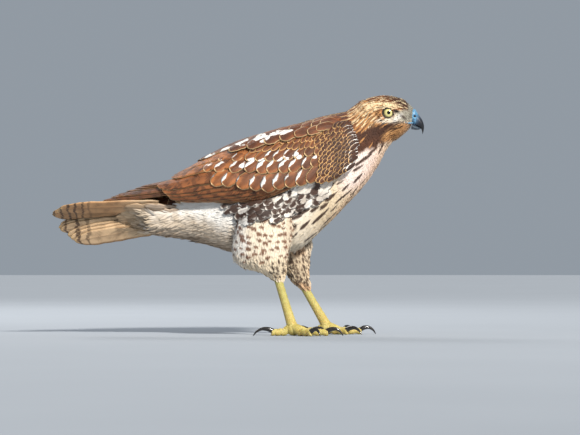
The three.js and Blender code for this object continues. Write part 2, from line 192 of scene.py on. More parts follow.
def rumpPoint(t, angle, grow=0.0):  # from the end of the trunk to the root of the tail feathers
    start = bodyPoint(0 * t, angle, grow)
    end = tailPoint(48 + 0 * t, -(26 + grow) * np.sin(angle), (2.4 + grow) * np.cos(angle))
    return start + (end - start) * (t**0.6)[..., None]


# Meshes.

pieces = []


def meshPiece(name, points, faces, material, corners=None, layers=None, smooth=True):
    # faces: one array of corner numbers for each number of sides; corners: UV maps, one pair a corner
    mesh = bpy.data.meshes.new(name)
    place = (np.asarray(points, float).reshape(-1, 3) + (shift, 0, 0)) / 1000
    loops = np.concatenate([f.ravel() for f in faces]).astype(np.int32)
    sizes = np.concatenate([np.full(len(f), f.shape[1]) for f in faces])
    starts = np.concatenate([[0], np.cumsum(sizes)[:-1]]).astype(np.int32)
    mesh.vertices.add(len(place))
    mesh.vertices.foreach_set("co", place.ravel())
    mesh.loops.add(len(loops))
    mesh.loops.foreach_set("vertex_index", loops)
    mesh.polygons.add(len(sizes))
    mesh.polygons.foreach_set("loop_start", starts)
    mesh.update(calc_edges=True)
    mesh.polygons.foreach_set("use_smooth", np.full(len(sizes), smooth))
    for key, values in (corners or {}).items():
        mesh.uv_layers.new(name=key).data.foreach_set("uv", np.asarray(values, float).ravel())
    for key, values in (layers or {}).items():
        values = np.asarray(values, float).reshape(len(place), -1)
        if values.shape[1] == 4:
            mesh.attributes.new(key, "FLOAT_COLOR", "POINT").data.foreach_set("color", values.ravel())
        else:
            mesh.attributes.new(key, "FLOAT_VECTOR", "POINT").data.foreach_set("vector", values.ravel())
    piece = bpy.data.objects.new(name, mesh)
    bpy.context.scene.collection.objects.link(piece)
    if material:
        mesh.materials.append(material)
    return piece


def settle(piece, slot, *nodes):  # gives a piece the root body, hides the nodes it stands for and keeps it with the pieces
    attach(piece, "root")
    if nodes:
        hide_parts(*nodes)
    pieces.append(piece)


def unwrap(piece, angle=66):
    bpy.ops.object.select_all(action="DESELECT")
    piece.select_set(True)
    bpy.context.view_layer.objects.active = piece
    if "OFBake" not in piece.data.uv_layers:
        piece.data.uv_layers.new(name="OFBake")
    piece.data.uv_layers.active = piece.data.uv_layers["OFBake"]
    bpy.ops.object.mode_set(mode="EDIT")
    bpy.ops.mesh.select_all(action="SELECT")
    bpy.ops.uv.smart_project(angle_limit=math.radians(angle), island_margin=0.004)
    bpy.ops.object.mode_set(mode="OBJECT")


def loftParts(rings):  # points and faces of a closed skin over rings of points
    count, sides = rings.shape[:2]
    k = np.arange(sides)
    i = np.arange(count - 1)[:, None] * sides
    quads = np.stack([i + k, i + (k + 1) % sides, i + sides + (k + 1) % sides, i + sides + k], -1)
    caps = np.stack([k[::-1], (count - 1) * sides + k])
    return rings.reshape(-1, 3), [quads.reshape(-1, 4), caps]


def joined(lofts):  # the parts of several lofts as one mesh
    points = []
    faces = []
    offset = 0
    for rings in lofts:
        madePoints, madeFaces = loftParts(rings)
        points.append(madePoints)
        faces += [part + offset for part in madeFaces]
        offset += len(madePoints)
    return np.concatenate(points), faces


def finished(piece, slot, *nodes):
    bpy.context.view_layer.update()
    unwrap(piece)
    settle(piece, slot, *nodes)


def loftPiece(name, rings, material, slot, *nodes):
    finished(meshPiece(name, *loftParts(rings), material), slot, *nodes)


def facingOut(rings):  # turns the rings round where their skin would face inwards
    middle = rings.mean(1, keepdims=True)
    across = np.cross(rings[:, 1] - rings[:, 0], np.roll(rings, -1, 0)[:, 0] - rings[:, 0])
    outward = ((rings[:, 0] - middle[:, 0]) * across)[:-1].sum()
    return rings if outward > 0 else rings[:, ::-1]


def sampled(point, first, last, rings, sides):  # rings of points on a shape
    t, angle = np.broadcast_arrays(np.linspace(first, last, rings)[:, None], roundAngles(sides)[None])
    return facingOut(point(t, angle))


def applied(piece):  # the piece's mesh with its modifiers worked in
    bpy.context.view_layer.update()
    made = bpy.data.meshes.new_from_object(piece.evaluated_get(bpy.context.evaluated_depsgraph_get()))
    piece.modifiers.clear()
    piece.data = made


def vertexPoints(piece):  # in the bird's own millimetres
    flat = np.empty(len(piece.data.vertices) * 3)
    piece.data.vertices.foreach_get("co", flat)
    return flat.reshape(-1, 3) * 1000 - (shift, 0, 0)


def setPoints(piece, points):
    piece.data.vertices.foreach_set("co", ((points + (shift, 0, 0)) / 1000).ravel())
    piece.data.update()


# Shader tools.

class Wire:  # one socket of a shader, so that its maths reads as plain sums
    def __init__(self, shader, socket):
        self.shader = shader
        self.socket = socket

    def sum(self, operation, *others):
        inputs = dict(enumerate((self, *others)))
        return self.shader.node("ShaderNodeMath", {"operation": operation}, inputs)

    def __add__(self, other):
        return self.sum("ADD", other)

    def __mul__(self, other):
        return self.sum("MULTIPLY", other)

    def __sub__(self, other):
        return self.sum("SUBTRACT", other)

    def __rsub__(self, other):
        return self.shader.node("ShaderNodeMath", {"operation": "SUBTRACT"}, {0: other, 1: self})

    def __truediv__(self, other):
        return self.sum("DIVIDE", other)

    def __pow__(self, other):
        return self.sum("POWER", other)

    __radd__ = __add__
    __rmul__ = __mul__

    def sine(self):
        return self.sum("SINE")

    def size(self):
        return self.sum("ABSOLUTE")

    def step(self, low, high):  # 0 below low and 1 above high, or the other way round
        inputs = {0: self, 1: low, 2: high, 3: 0.0, 4: 1.0}
        if low > high:
            inputs = {0: self, 1: high, 2: low, 3: 1.0, 4: 0.0}
        return self.shader.node("ShaderNodeMapRange", {"interpolation_type": "SMOOTHSTEP"}, inputs)


class Shader:
    def __init__(self, name, roughness=0.8, **fixed):
        self.material = bpy.data.materials.new(name)
        self.material.use_nodes = True
        self.tree = self.material.node_tree
        self.surface = self.tree.nodes["Principled BSDF"]
        self.put(self.surface.inputs["Roughness"], roughness)
        for key, value in fixed.items():
            self.put(self.surface.inputs[key.replace("_", " ")], value)

    def put(self, socket, value):
        if isinstance(value, Wire):
            self.tree.links.new(value.socket, socket)
        elif hasattr(value, "__len__"):
            values = [float(v) for v in value]
            socket.default_value = values + [1.0] if socket.type == "RGBA" and len(values) == 3 else values
        else:
            socket.default_value = value

    def node(self, kind, settings=None, inputs=None, output=0):
        made = self.tree.nodes.new(kind)
        for key, value in (settings or {}).items():
            if key == "stops":
                while len(made.color_ramp.elements) < len(value):
                    made.color_ramp.elements.new(0.5)
                for stop, (at, colour) in zip(made.color_ramp.elements, value):
                    stop.position = at
                    stop.color = [*map(float, colour), 1.0]
            else:
                setattr(made, key, value)
        for key, value in (inputs or {}).items():
            self.put(made.inputs[key], value)
        return Wire(self, made.outputs[output])

    def mix(self, mask, under, upper, blend="MIX"):
        settings = {"data_type": "RGBA", "blend_type": blend}
        return self.node("ShaderNodeMix", settings, {0: mask, 6: under, 7: upper}, 2)

    def layer(self, name, output=0):  # a value painted on the mesh: 0 colour, 1 vector, 3 alpha
        return self.node("ShaderNodeAttribute", {"attribute_name": name}, output=output)

    def parts(self, vector):
        made = self.tree.nodes.new("ShaderNodeSeparateXYZ")
        self.put(made.inputs[0], vector)
        return [Wire(self, made.outputs[k]) for k in range(3)]

    def place(self):  # where a point is, in metres on the piece
        return self.node("ShaderNodeTexCoord", output=3)

    def noise(self, scale, detail=3.0, roughness=0.5, vector=None):
        inputs = {"Scale": scale, "Detail": detail, "Roughness": roughness,
                  "Vector": vector or self.place()}
        return self.node("ShaderNodeTexNoise", None, inputs)

    def cells(self, scale, feature="F1"):
        return self.node("ShaderNodeTexVoronoi", {"feature": feature},
                         {"Scale": scale, "Vector": self.place()})

    def colour(self, value):
        self.put(self.surface.inputs["Base Color"], value)

    def rough(self, value):
        self.put(self.surface.inputs["Roughness"], value)

    def bump(self, height, strength=0.3, distance=0.001):
        inputs = {"Height": height, "Strength": strength, "Distance": distance}
        self.put(self.surface.inputs["Normal"], self.node("ShaderNodeBump", None, inputs))


def speckled(name, roughness, grainOf, span, colours, bump, **fixed):  # two colours mixed by a fine grain
    shader = Shader(name, roughness, **fixed)
    noise = shader.noise(*grainOf)
    shader.colour(shader.mix(noise.step(*span), *colours))
    shader.bump(noise, *bump)
    return shader.material


# The camera, the floor and the light.

view = dict(distance=4.0, height=0.112, aimX=0.072, aimZ=0.1645, spanX=0.812, sensor=36, farthest=60)
camera = bpy.data.objects.new("camera", bpy.data.cameras.new("camera"))
bpy.context.scene.collection.objects.link(camera)
camera.location = (view["aimX"], -view["distance"], view["height"])
gaze = Vector((view["aimX"], 0, view["aimZ"])) - camera.location
camera.rotation_euler = gaze.to_track_quat("-Z", "Y").to_euler()
camera.data.sensor_width = view["sensor"]
camera.data.lens = view["sensor"] * view["distance"] / view["spanX"]
camera.data.clip_end = view["farthest"]
bpy.context.scene.camera = camera

lampAim = Vector((0, 0, 0.2))
lamps = {  # kind, place, size in metres or degrees, strength, colour
    "key": ("SUN", (1.0, -1.75, 1.55), 7, 4.7, (1.0, 0.96, 0.89)),
    "rim": ("AREA", (-0.9, 1.7, 1.9), 1.2, 26, (1.0, 0.98, 0.95)),
    "face": ("AREA", (1.9, -1.2, 0.9), 0.8, 7, (1.0, 0.96, 0.9)),
}
for lampName, (kind, spot, size, strength, hue) in lamps.items():
    lamp = bpy.data.lights.new(lampName, kind)
    lamp.energy = strength
    lamp.color = hue
    if kind == "SUN":
        lamp.angle = math.radians(size)
    else:
        lamp.shape = "DISK"
        lamp.size = size
    lampPiece = bpy.data.objects.new(lampName, lamp)
    lampPiece.location = spot
    lampPiece.rotation_euler = (lampAim - Vector(spot)).to_track_quat("-Z", "Y").to_euler()
    bpy.context.scene.collection.objects.link(lampPiece)

world = bpy.data.worlds.new("studio")
world.use_nodes = True
sky = world.node_tree.nodes["Background"]
sky.inputs["Color"].default_value = (0.53, 0.6, 0.68, 1)
sky.inputs["Strength"].default_value = 0.54
bpy.context.scene.world = world
bpy.context.scene.view_settings.view_transform = "Standard"

floorShader = Shader("pale floor", 0.9, Specular_IOR_Level=0.1)
floorShader.colour(floorShader.mix(floorShader.noise(3.0), paint(163, 169, 177), paint(169, 175, 183)))
disc = dict(radius=12000, sides=96)
floorDisc = np.array([[(disc["radius"] * math.cos(a) - shift, disc["radius"] * math.sin(a), 0)
                       for a in roundAngles(disc["sides"])]])
floor = meshPiece("floor", floorDisc, [np.arange(disc["sides"])[None]], floorShader.material, smooth=False)
print("camera, floor and light")


# Plumage colours, told by where a point of the coat lies.

tone = {
    "cream": paint(234, 220, 198), "white": paint(246, 241, 234), "pinkish": paint(236, 218, 208),
    "golden": paint(194, 138, 82), "straw": paint(224, 202, 168), "buff": paint(190, 140, 88),
    "tan": paint(176, 122, 72), "brown": paint(110, 62, 31), "dark": paint(60, 33, 18),
    "darkest": paint(34, 22, 15), "rufous": paint(146, 88, 46), "beige": paint(188, 166, 138),
    "olive": paint(172, 166, 150), "brow": paint(240, 218, 176), "smoke": paint(146, 122, 98),
}
# olive darkened as painted shade, for the skin where the face meets the cere
tone["shadedOlive"] = tone["olive"] * 0.8
bellyLine = np.array([(row[2], row[3]) for row in bodyRows]).T
backLine = np.array([(row[0], row[1]) for row in bodyRows]).T


def patch(x, z, middleX, middleZ, radiusX, radiusZ, turn=0.0, soft=0.3):
    c = math.cos(math.radians(turn))
    s = math.sin(math.radians(turn))
    a = ((x - middleX) * c + (z - middleZ) * s) / radiusX
    b = (-(x - middleX) * s + (z - middleZ) * c) / radiusZ
    return 1 - ease(1 - soft, 1 + soft, np.hypot(a, b))


def neckEdge(x):  # the lower edge of the dark side of the neck
    return np.interp(x, [30, 56, 74, 99, 112, 124], [222, 240, 252, 261, 268, 278])


def painted(points, base, layers):  # layers of a tone's name and how strong it is at each point
    colour = np.tile(tone[base], (len(points), 1))
    for name, mask in layers:
        colour = over(colour, tone[name], mask)
    return colour


def groundColour(points):
    x, y, z = points.T
    side = np.abs(y)
    wave = grain(points, 14, 3)
    fine = grain(points, 6, 5)
    above = z - np.interp(x, *bellyLine)
    below = np.interp(x, *backLine) - z
    rear = ease(-58, -92, x)
    neck = ease(-3, 5, z - neckEdge(x) + 3 * fine) * (1 - ease(120, 128, x)) * ease(20, 44, x)
    cap = ease(58, 76, x)
    return painted(points, "cream", [
        # breast, belly and the coverts under the tail
        ("straw", ease(-6, 30, x) * (1 - ease(236, 256, z)) * 0.85),
        ("pinkish", patch(x, z, 76, 234, 40, 21, 52, 0.45)),
        # golden along the middle of the breast's front: painted warm rim light
        ("golden", ease(38, 12, side) * ease(14, 46, x) * (1 - ease(260, 276, z)) * 0.45),
        ("white", patch(x, z, -52, 178, 60, 24, 4, 0.4) * 0.7),
        ("smoke", patch(x, z, -84, 182, 24, 16, -30, 0.6) * (0.35 + 0.3 * wave)),
        ("white", rear),
        # beige and smoke towards the lower edge of the rear belly: painted shade under the body
        ("beige", rear * (1 - ease(16, 46, above + 8 * wave)) * 0.8),
        ("smoke", rear * (1 - ease(0, 13, above + 4 * fine)) * 0.8),
        ("beige", ease(-196, -232, x + 5 * wave) * 0.8),
        # neck and back
        ("brown", neck),
        ("rufous", neck * patch(x, z, 74, 300, 34, 15, 20, 0.5) * 0.7),
        ("dark", neck * patch(x, z, 86, 272, 36, 18, 24, 0.5) * (0.8 + 0.2 * fine)),
        ("brown", ease(20, 11, below) * (1 - ease(70, 90, x)) * ease(0, 14, above - 20)),
        # head
        ("rufous", ease(308, 316, z + wave) * cap),
        ("brown", ease(314, 324, z + wave) * cap * 0.7),
        ("dark", patch(x, z, 130, 329, 17, 6, -20, 0.5) * 0.75),
        ("buff", patch(x, z, 90, 303, 23, 13, 0, 0.4) * 0.85),
        ("dark", patch(x, z, 104, 286, 29, 8, 22, 0.45) * (0.85 + 0.15 * fine)),
        ("buff", patch(x, z, 128, 284, 22, 9, 30, 0.35)),
        ("golden", patch(x, z, 122, 276, 12, 5, 30, 0.5) * 0.8),
        ("brow", patch(x, z, 104, 320.5, 25, 4.4, -2, 0.45) * ease(8, 15, side)),
        ("brow", patch(x, z, 84, 314, 14, 6, 10, 0.5) * 0.35),
        ("cream", patch(x, z, 113, 299.6, 15, 4.6, 3, 0.45) * 0.9),
        ("dark", patch(x, z, 139, 321, 13, 7.5, -42, 0.4) * 0.8),
        ("olive", patch(x, z, 139, 306, 10.5, 8, 0, 0.35)),
        # painted shade on the skin at the cere's rear edge
        ("shadedOlive", ease(142, 146, x) * ease(295, 299, z)),
        ("white", patch(x, z, 129, 303, 8, 2.8, 38, 0.5) * 0.75),
        ("dark", patch(x, z, 137, 304, 5, 1.8, -36, 0.6) * 0.7),
        ("darkest", patch(x, z, 126.5, 312, 4.6, 2.4, -14, 0.5) * ease(8, 14, side)),
    ])


def thighColour(side, points):
    x, y, z = points.T
    wave = grain(points, 12, 9)
    rearX = -74 if side == "right" else -48
    layers = [("white", ease(rearX, rearX - 14, x + 5 * wave) * 0.85),
              ("straw", ease(118, 96, z + 5 * wave) * 0.6)]
    if side == "right":
        layers.append(("beige", ease(-34, -20, x + 3 * wave) * 0.5))
    else:
        inner = ease(44, 30, y)
        layers += [("beige", inner * 0.6), ("tan", inner * ease(-0.1, 0.7, wave) * 0.5)]
    return painted(points, "cream", layers)


# Marks are drop shapes that follow the lie of the feathers.
breastMarks = [  # x, z, length, width, slope in degrees, seen from the side
    (72, 220, 18, 3.8, 37), (30, 206, 20, 7, 31), (55, 207, 13, 3.4, 39), (47, 213, 12, 1.8, 22),
    (48, 192, 20, 2.8, 36), (58, 200, 18, 2.6, 33), (67, 203, 14, 2.4, 45), (23, 195, 18, 4.8, 22),
    (34, 193, 19, 5, 33), (25, 181, 15, 4.6, 33), (4, 186, 28, 8, 28), (55, 186, 12, 2.4, 45),
    (20, 167, 31, 4.2, 43), (33, 165, 26, 3, 38), (35, 157, 19, 3, 37), (-1, 155, 19, 4.2, 48),
    (-17, 141, 13, 3.4, 40), (7, 140, 21, 3.8, 20), (94, 258, 19, 3, 24), (83, 247, 21, 4.2, 25),
    (73, 240, 13, 3.4, 30), (104, 260, 13, 3, 60), (72, 233, 17, 3.4, 21), (113, 259, 8, 2, 60),
    (12, 188, 17, 8, 20), (-3, 173, 19, 5.4, 20), (-14, 165, 19, 4.8, 12), (-19, 152, 12, 9, 30),
    (14, 134, 13, 9, 60), (38, 178, 12, 2.6, 40), (12, 176, 14, 4, 30), (44, 172, 11, 2, 42),
]
flankMarks = [
    (-81, 181, 24, 12, 80), (-95, 172, 13, 9, 50), (-89, 162, 15, 11, 40), (-65, 166, 16, 12, 60),
    (-56, 159, 14, 8, 20), (-58, 184, 19, 15, 70), (-47, 169, 19, 12, 25), (-42, 190, 24, 8, 5),
    (-32, 187, 13, 10, 40), (-24, 178, 12, 10, 30), (-21, 170, 13, 7, 20), (-7, 182, 22, 11, 30),
    (-72, 192, 15, 9, 30), (-100, 187, 11, 8, 60), (-38, 178, 10, 7, 30), (-12, 192, 15, 7, 10),
    (-73, 153, 10, 6, 40), (-100, 178, 9, 6, 50), (-34, 160, 11, 6, 10),
]
markKinds = {  # gap along and across, length and width, and how likely a mark is at each place
    "front": dict(gap=(18, 12), size=(15, 2.8), colour="dark", strength=0.85, share=lambda x, y, z:
                  ease(30, 18, np.abs(y)) * ease(-4, 10, x) * (1 - ease(214, 226, z)) * 0.6),
    "neck": dict(gap=(9, 6), size=(10, 2.1), colour="golden", strength=0.85, share=lambda x, y, z:
                 ease(2, 8, z - neckEdge(x)) * ease(36, 56, x) * (1 - ease(106, 116, x)) * 0.8
                 * (1 - 0.75 * patch(x, z, 88, 274, 34, 15, 24, 0.3))),
    "nape": dict(gap=(8.6, 5.8), size=(11, 1.45), colour="brow", strength=0.9, share=lambda x, y, z:
                 ease(286, 296, z) * ease(34, 48, x) * (1 - ease(92, 100, x))),
    "crown": dict(gap=(7.2, 4.8), size=(7.6, 1.4), colour="brow", strength=0.9, share=lambda x, y, z:
                  ease(308, 315, z) * ease(84, 94, x) * (1 - ease(138, 146, x))
                  * (1 - patch(x, z, 112, 320, 15, 4, 0, 0.2))),
    "cheek": dict(gap=(6.4, 3.8), size=(8, 1.4), colour="dark", strength=0.85, share=lambda x, y, z:
                  patch(x, z, 90, 303, 25, 13, 0, 0.3) + patch(x, z, 122, 290, 22, 6, 16, 0.3)),
    "throat": dict(gap=(8.5, 4.4), size=(9.5, 1.8), colour="dark", strength=0.85, share=lambda x, y, z:
                   patch(x, z, 114, 277, 20, 11, 40, 0.3)),
    "lore": dict(gap=(3.4, 2.4), size=(4, 0.6), colour="dark", strength=0.4, share=lambda x, y, z:
                 patch(x, z, 139, 307, 9, 8, 0, 0.3)),
}
thighKinds = {
    "tick": dict(gap=(10, 11.5), size=(4.6, 13), colour="brown", strength=0.9, stagger=0.12),
    "spot": dict(gap=(6.4, 5.4), size=(5.4, 3.4), colour="dark", strength=0.85),
}


# The skin: one smooth body under all the feathers.

skinDepth = {0: 4.0, 8: 4.3, 10: 3.6, 12: 2.1, 14.5: 0.9, 16: 0.9}  # by the row of the body's loft
skinFit = dict(rump=-3.4, thigh=-3.1, voxel=0.0024, smooth=4)


def skinGrow(t):
    return -np.interp(t, list(skinDepth), list(skinDepth.values()))


def skinPoint(t, angle):
    return bodyPoint(t, angle, skinGrow(t))


def fleshPoint(sign):
    def point(t, angle):
        front, rear = fleshRows[0][0], fleshRows[-1][0]
        x = front + (rear - front) * t**1.3
        r = rowsAt(fleshRows, x)
        outer = angle < math.pi
        share = np.where(outer, angle / math.pi, 2 - angle / math.pi)
        hollow = r[..., 3] * (1 - (2 * share - 1) ** 4)
        made = wingPoint(x, r[..., 1] + (r[..., 2] - r[..., 1]) * share,
                         np.where(outer, -r[..., 4], -r[..., 4] - hollow - 1.2))
        made[..., 1] *= -sign
        return made
    return point


def ball(radii, rings, sides, end):  # rings from pole to pole along y
    v = np.linspace(end, math.pi - end, rings)[:, None]
    u = roundAngles(sides)[None]
    return np.stack([np.sin(v) * np.cos(u), np.cos(v) + 0 * u, np.sin(v) * np.sin(u)], -1) * radii


def ellipsoid(middle, radii, turn=0.0, rings=16, sides=24):
    x, z, y = np.moveaxis(ball((radii[0], radii[2], radii[1]), rings, sides, 0.05), -1, 0)
    c, s = math.cos(turn), math.sin(turn)
    return facingOut(np.stack([x * c - y * s, x * s + y * c, z], -1) + middle)


def skinLofts():
    yield sampled(skinPoint, 0, 16, 120, 72)
    yield sampled(lambda t, a: rumpPoint(t, a, skinFit["rump"]), 0, 1, 24, 48)
    for side, sign in sideSign.items():
        yield sampled(lambda t, a: thighPoint(side, t, a, skinFit["thigh"]), 0.2, 7, 40, 40)
        yield sampled(fleshPoint(sign), 0.01, 0.99, 60, 36)
        yield ellipsoid((120.5, sign * 22.6, 318.8), (13.5, 3.4, 2.5), -sign * math.radians(14))  # brow


skinShader = Shader("skin under the feathers", 0.85)
skinTint = skinShader.layer("tint")
skinShader.colour(skinShader.mix(skinShader.noise(240, 4) * 0.5, skinTint,
                                 skinShader.mix(1.0, skinTint, (0.8, 0.77, 0.74), "MULTIPLY")))
skinShader.bump(skinShader.noise(420, 4), 0.5, 0.0006)

skin = meshPiece("skin", *joined(skinLofts()), None)
remesh = skin.modifiers.new("remesh", "REMESH")
remesh.mode = "VOXEL"
remesh.voxel_size = skinFit["voxel"]
smoother = skin.modifiers.new("smooth", "SMOOTH")
smoother.factor = 0.5
smoother.iterations = skinFit["smooth"]
applied(skin)
skinPoints = vertexPoints(skin)
orbit = dict(x=117.5, y=28.5, z=309, radii=(13, 5.4, 10), inner=12)
for sign in (-1, 1):  # the hollow that each eye sits in
    off = skinPoints - (orbit["x"], sign * orbit["y"], orbit["z"])
    flat = np.clip(1 - (off[:, 0] / orbit["radii"][0]) ** 2 - (off[:, 2] / orbit["radii"][2]) ** 2, 0, 1)
    floorY = orbit["y"] - orbit["radii"][1] * np.sqrt(flat)
    deep = (flat > 0) & (sign * skinPoints[:, 1] > np.maximum(floorY, orbit["inner"]))
    skinPoints[deep, 1] = sign * floorY[deep]
setPoints(skin, skinPoints)


def skinColour(points):
    colour = groundColour(points)
    for side, sign in sideSign.items():
        on = (points[:, 2] < 168) & (sign * points[:, 1] > 20)
        colour[on] = thighColour(side, points[on])
    return colour


skinTints = np.c_[skinColour(skinPoints), np.ones(len(skinPoints))]
skin.data.attributes.new("tint", "FLOAT_COLOR", "POINT").data.foreach_set("color", skinTints.ravel())
skin.data.materials.append(skinShader.material)
skin.data.polygons.foreach_set("use_smooth", np.full(len(skin.data.polygons), True))
finished(skin, "plumage", "torso", "neck", "head", "thigh_right", "thigh_left")
skinTree = BVHTree.FromPolygons([Vector(p) for p in skinPoints],
                                [list(p.vertices) for p in skin.data.polygons])
print("skin", len(skin.data.polygons))


# Where each mark lies on the skin.

def scatter(point, lie, first, last, gapAlong, gapAcross, jitter=0.3, stagger=0.5):
    # shingle rows over a loft: places, directions and the two loft numbers of each
    fine = np.linspace(first, last, 400)
    spine = point(fine, fine * 0 + math.pi / 2)
    run = np.concatenate([[0], np.cumsum(np.linalg.norm(np.diff(spine, axis=0), axis=1))])
    rows = []
    for row, distance in enumerate(np.arange(gapAlong / 2, run[-1], gapAlong)):
        t = np.interp(distance, run, fine)
        ring = point(np.full(64, t), roundAngles(64))
        steps = np.linalg.norm(np.roll(ring, -1, 0) - ring, axis=1)
        length = np.concatenate([[0], np.cumsum(steps)])
        count = max(3, int(round(length[-1] / gapAcross)))
        offset = row * stagger if stagger != 0.5 else 0.5 * (row % 2)
        places = (np.arange(count) + offset + dice.normal(0, jitter * 0.5, count)) * length[-1] / count
        angle = np.interp(places % length[-1], length, np.linspace(0, 2 * math.pi, 65))
        wobble = dice.normal(0, jitter * 0.5, count) * gapAlong
        rows.append(np.stack([np.interp(distance + wobble, run, fine), angle], -1))
    t, angle = np.concatenate(rows).T
    return point(t, angle), lie(t, angle), t, angle


def bodyLie(t, angle):  # the way feathers point: towards the tail
    return unit(bodyPoint(t - 0.05, angle) - bodyPoint(t + 0.05, angle))


def thighShape(side, grow=0.0):
    return lambda t, angle: thighPoint(side, t, angle, grow)


def thighLie(side):
    return lambda t, angle: unit(thighPoint(side, t + 0.05, angle) - thighPoint(side, t - 0.05, angle))


def seated(places, limit):  # the nearest places of the skin, with its normals
    roots = np.empty_like(places)
    normals = np.empty_like(places)
    kept = np.zeros(len(places), bool)
    for i, place in enumerate(places):
        hit, normal, _, distance = skinTree.find_nearest(Vector(place))
        roots[i] = hit
        normals[i] = normal
        kept[i] = distance < limit
    return roots, unit(normals), kept


def markGroup(places, ways, sizes, kind):
    roots, normals, kept = seated(places, 9)
    ways = unit(ways - (ways * normals).sum(1, keepdims=True) * normals)
    return dict(at=roots[kept], way=ways[kept], normal=normals[kept], size=sizes[kept],
                colour=tone[kind["colour"]], strength=kind["strength"])


drawnKind = dict(colour="dark", strength=0.96, longer=1.1, wider=1.35, moved=3, turned=5)


def skinHit(x, z, sign):  # where the skin lies, seen from one side
    return skinTree.ray_cast(Vector((x, sign * 200, z)), Vector((0, -sign, 0)))[0]


def drawnMarks(rows):  # marks given by their place in the side view, on both sides
    places, ways, sizes = [], [], []
    for sign in (-1, 1):
        for x, z, length, width, slope in rows:
            if sign > 0:
                x, z = x + dice.normal(0, drawnKind["moved"]), z + dice.normal(0, drawnKind["moved"])
                slope = slope + dice.normal(0, drawnKind["turned"])
            hit = skinHit(x, z, sign)
            if hit is not None:
                places.append(hit)
                ways.append((-math.cos(math.radians(slope)), 0, -math.sin(math.radians(slope))))
                sizes.append((length * drawnKind["longer"], width * drawnKind["wider"]))
    return markGroup(np.array(places), np.array(ways), np.array(sizes, float), drawnKind)


def sownMarks(kind, point, lie, first, last, share=None):
    stagger = kind.get("stagger", 0.5)
    jitter = 0.5 if stagger == 0.5 else 0.4
    places, ways, t, angle = scatter(point, lie, first, last, *kind["gap"], jitter, stagger)
    kept = dice.random(len(places)) < (share or kind["share"])(*places.T)
    sizes = np.array(kind["size"]) * dice.uniform(0.75, 1.25, (kept.sum(), 2))
    return markGroup(places[kept], ways[kept], sizes, kind)


bodyMarks = [drawnMarks(breastMarks), drawnMarks(flankMarks)]
bodyMarks += [sownMarks(kind, bodyPoint, bodyLie, 2.0, 15.6) for kind in markKinds.values()]
thighSowing = {  # kind, stretch of the thigh's loft, and how likely a mark is
    "right": [("tick", 0.5, 5.6, lambda x, y, z: ease(96, 108, z)),
              ("spot", 3.6, 6.9, lambda x, y, z: ease(112, 100, z) * ease(-66, -54, x) * 0.55)],
    "left": [("tick", 0.5, 6.6, lambda x, y, z: ease(36, 42, y)),
             ("spot", 0.8, 6.9, lambda x, y, z: ease(42, 34, y) * 0.9)],
}
thighMarks = {side: [sownMarks(thighKinds[kind], thighShape(side), thighLie(side), *rest)
                     for kind, *rest in rows] for side, rows in thighSowing.items()}


def marked(points, colour, groups):
    order = np.argsort(points[:, 0])
    sortedX = points[order, 0]
    for group in groups:
        rows = zip(group["at"], group["way"], group["normal"], group["size"])
        for at, way, normal, (length, width) in rows:
            reach = length * 0.55 + 1
            first, last = np.searchsorted(sortedX, (at[0] - reach, at[0] + reach))
            near = order[first:last]
            off = points[near] - at
            near = near[(np.abs(off[:, 1:]) < reach + 5).all(1)]
            off = points[near] - at
            up = off @ normal
            along = off @ way
            across = np.linalg.norm(off - along[:, None] * way - up[:, None] * normal, axis=1)
            share = np.clip(along / length + 0.5, 0, 1)
            half = width * np.sqrt(np.maximum(share * (1 - share), 0)) * (0.6 + 0.7 * share)
            mask = (1 - ease(0.7, 1.25, across / np.maximum(half, 0.05))) * (np.abs(up) < 9)
            colour[near] = over(colour[near], group["colour"], mask * group["strength"])
    return colour


print("marks", sum(len(g["at"]) for g in bodyMarks + thighMarks["right"] + thighMarks["left"]))


# The line of the closed mouth, from under the eye to the bill.
gapeLine = np.array([(127, 25.4, 298.8), (133, 23.2, 297.6), (138.5, 20.4, 297),
                     (144.5, 15.6, 296.2), (151, 9.9, 296.6)])


# Small body feathers: each is a fan of thin blades that rises from the skin and lies back.

coatShader = Shader("body feathers", 0.85, Sheen_Weight=0.08, Sheen_Roughness=0.5)
tuftTint = coatShader.layer("tint")
fibre = coatShader.noise(1100, 3, 0.6)
coatShader.colour(coatShader.mix(fibre.step(0.4, 0.8) * 0.14, tuftTint,
                                 coatShader.mix(1.0, tuftTint, (0.62, 0.56, 0.5), "MULTIPLY")))
coatShader.bump(fibre, 0.25, 0.0004)

blade = dict(shares=np.array([0.0, 0.42, 0.68, 0.87]), widths=np.array([0.7, 1.0, 0.92, 0.6]),
             # brightness of each point from root to tip: painted shade, darker at the covered roots
             paintedRootShade=np.array([0.9] * 3 + [0.95] * 3 + [0.99] * 3 + [1.01] * 3 + [1.02]),
             thickness=0.1, sunk=0.8, points=13)  # four rings of three points, and the tip


def keepEdges(piece):  # the two sides of each blade stay crisp
    ends = np.empty(len(piece.data.edges) * 2, np.int32)
    piece.data.edges.foreach_get("vertices", ends)
    ends = ends.reshape(-1, 2) % blade["points"]
    crisp = np.isin(ends, (0, 3, 6, 9, 12)).all(1) | np.isin(ends, (2, 5, 8, 11, 12)).all(1)
    piece.data.attributes.new("sharp_edge", "BOOLEAN", "EDGE").data.foreach_set("value", crisp)


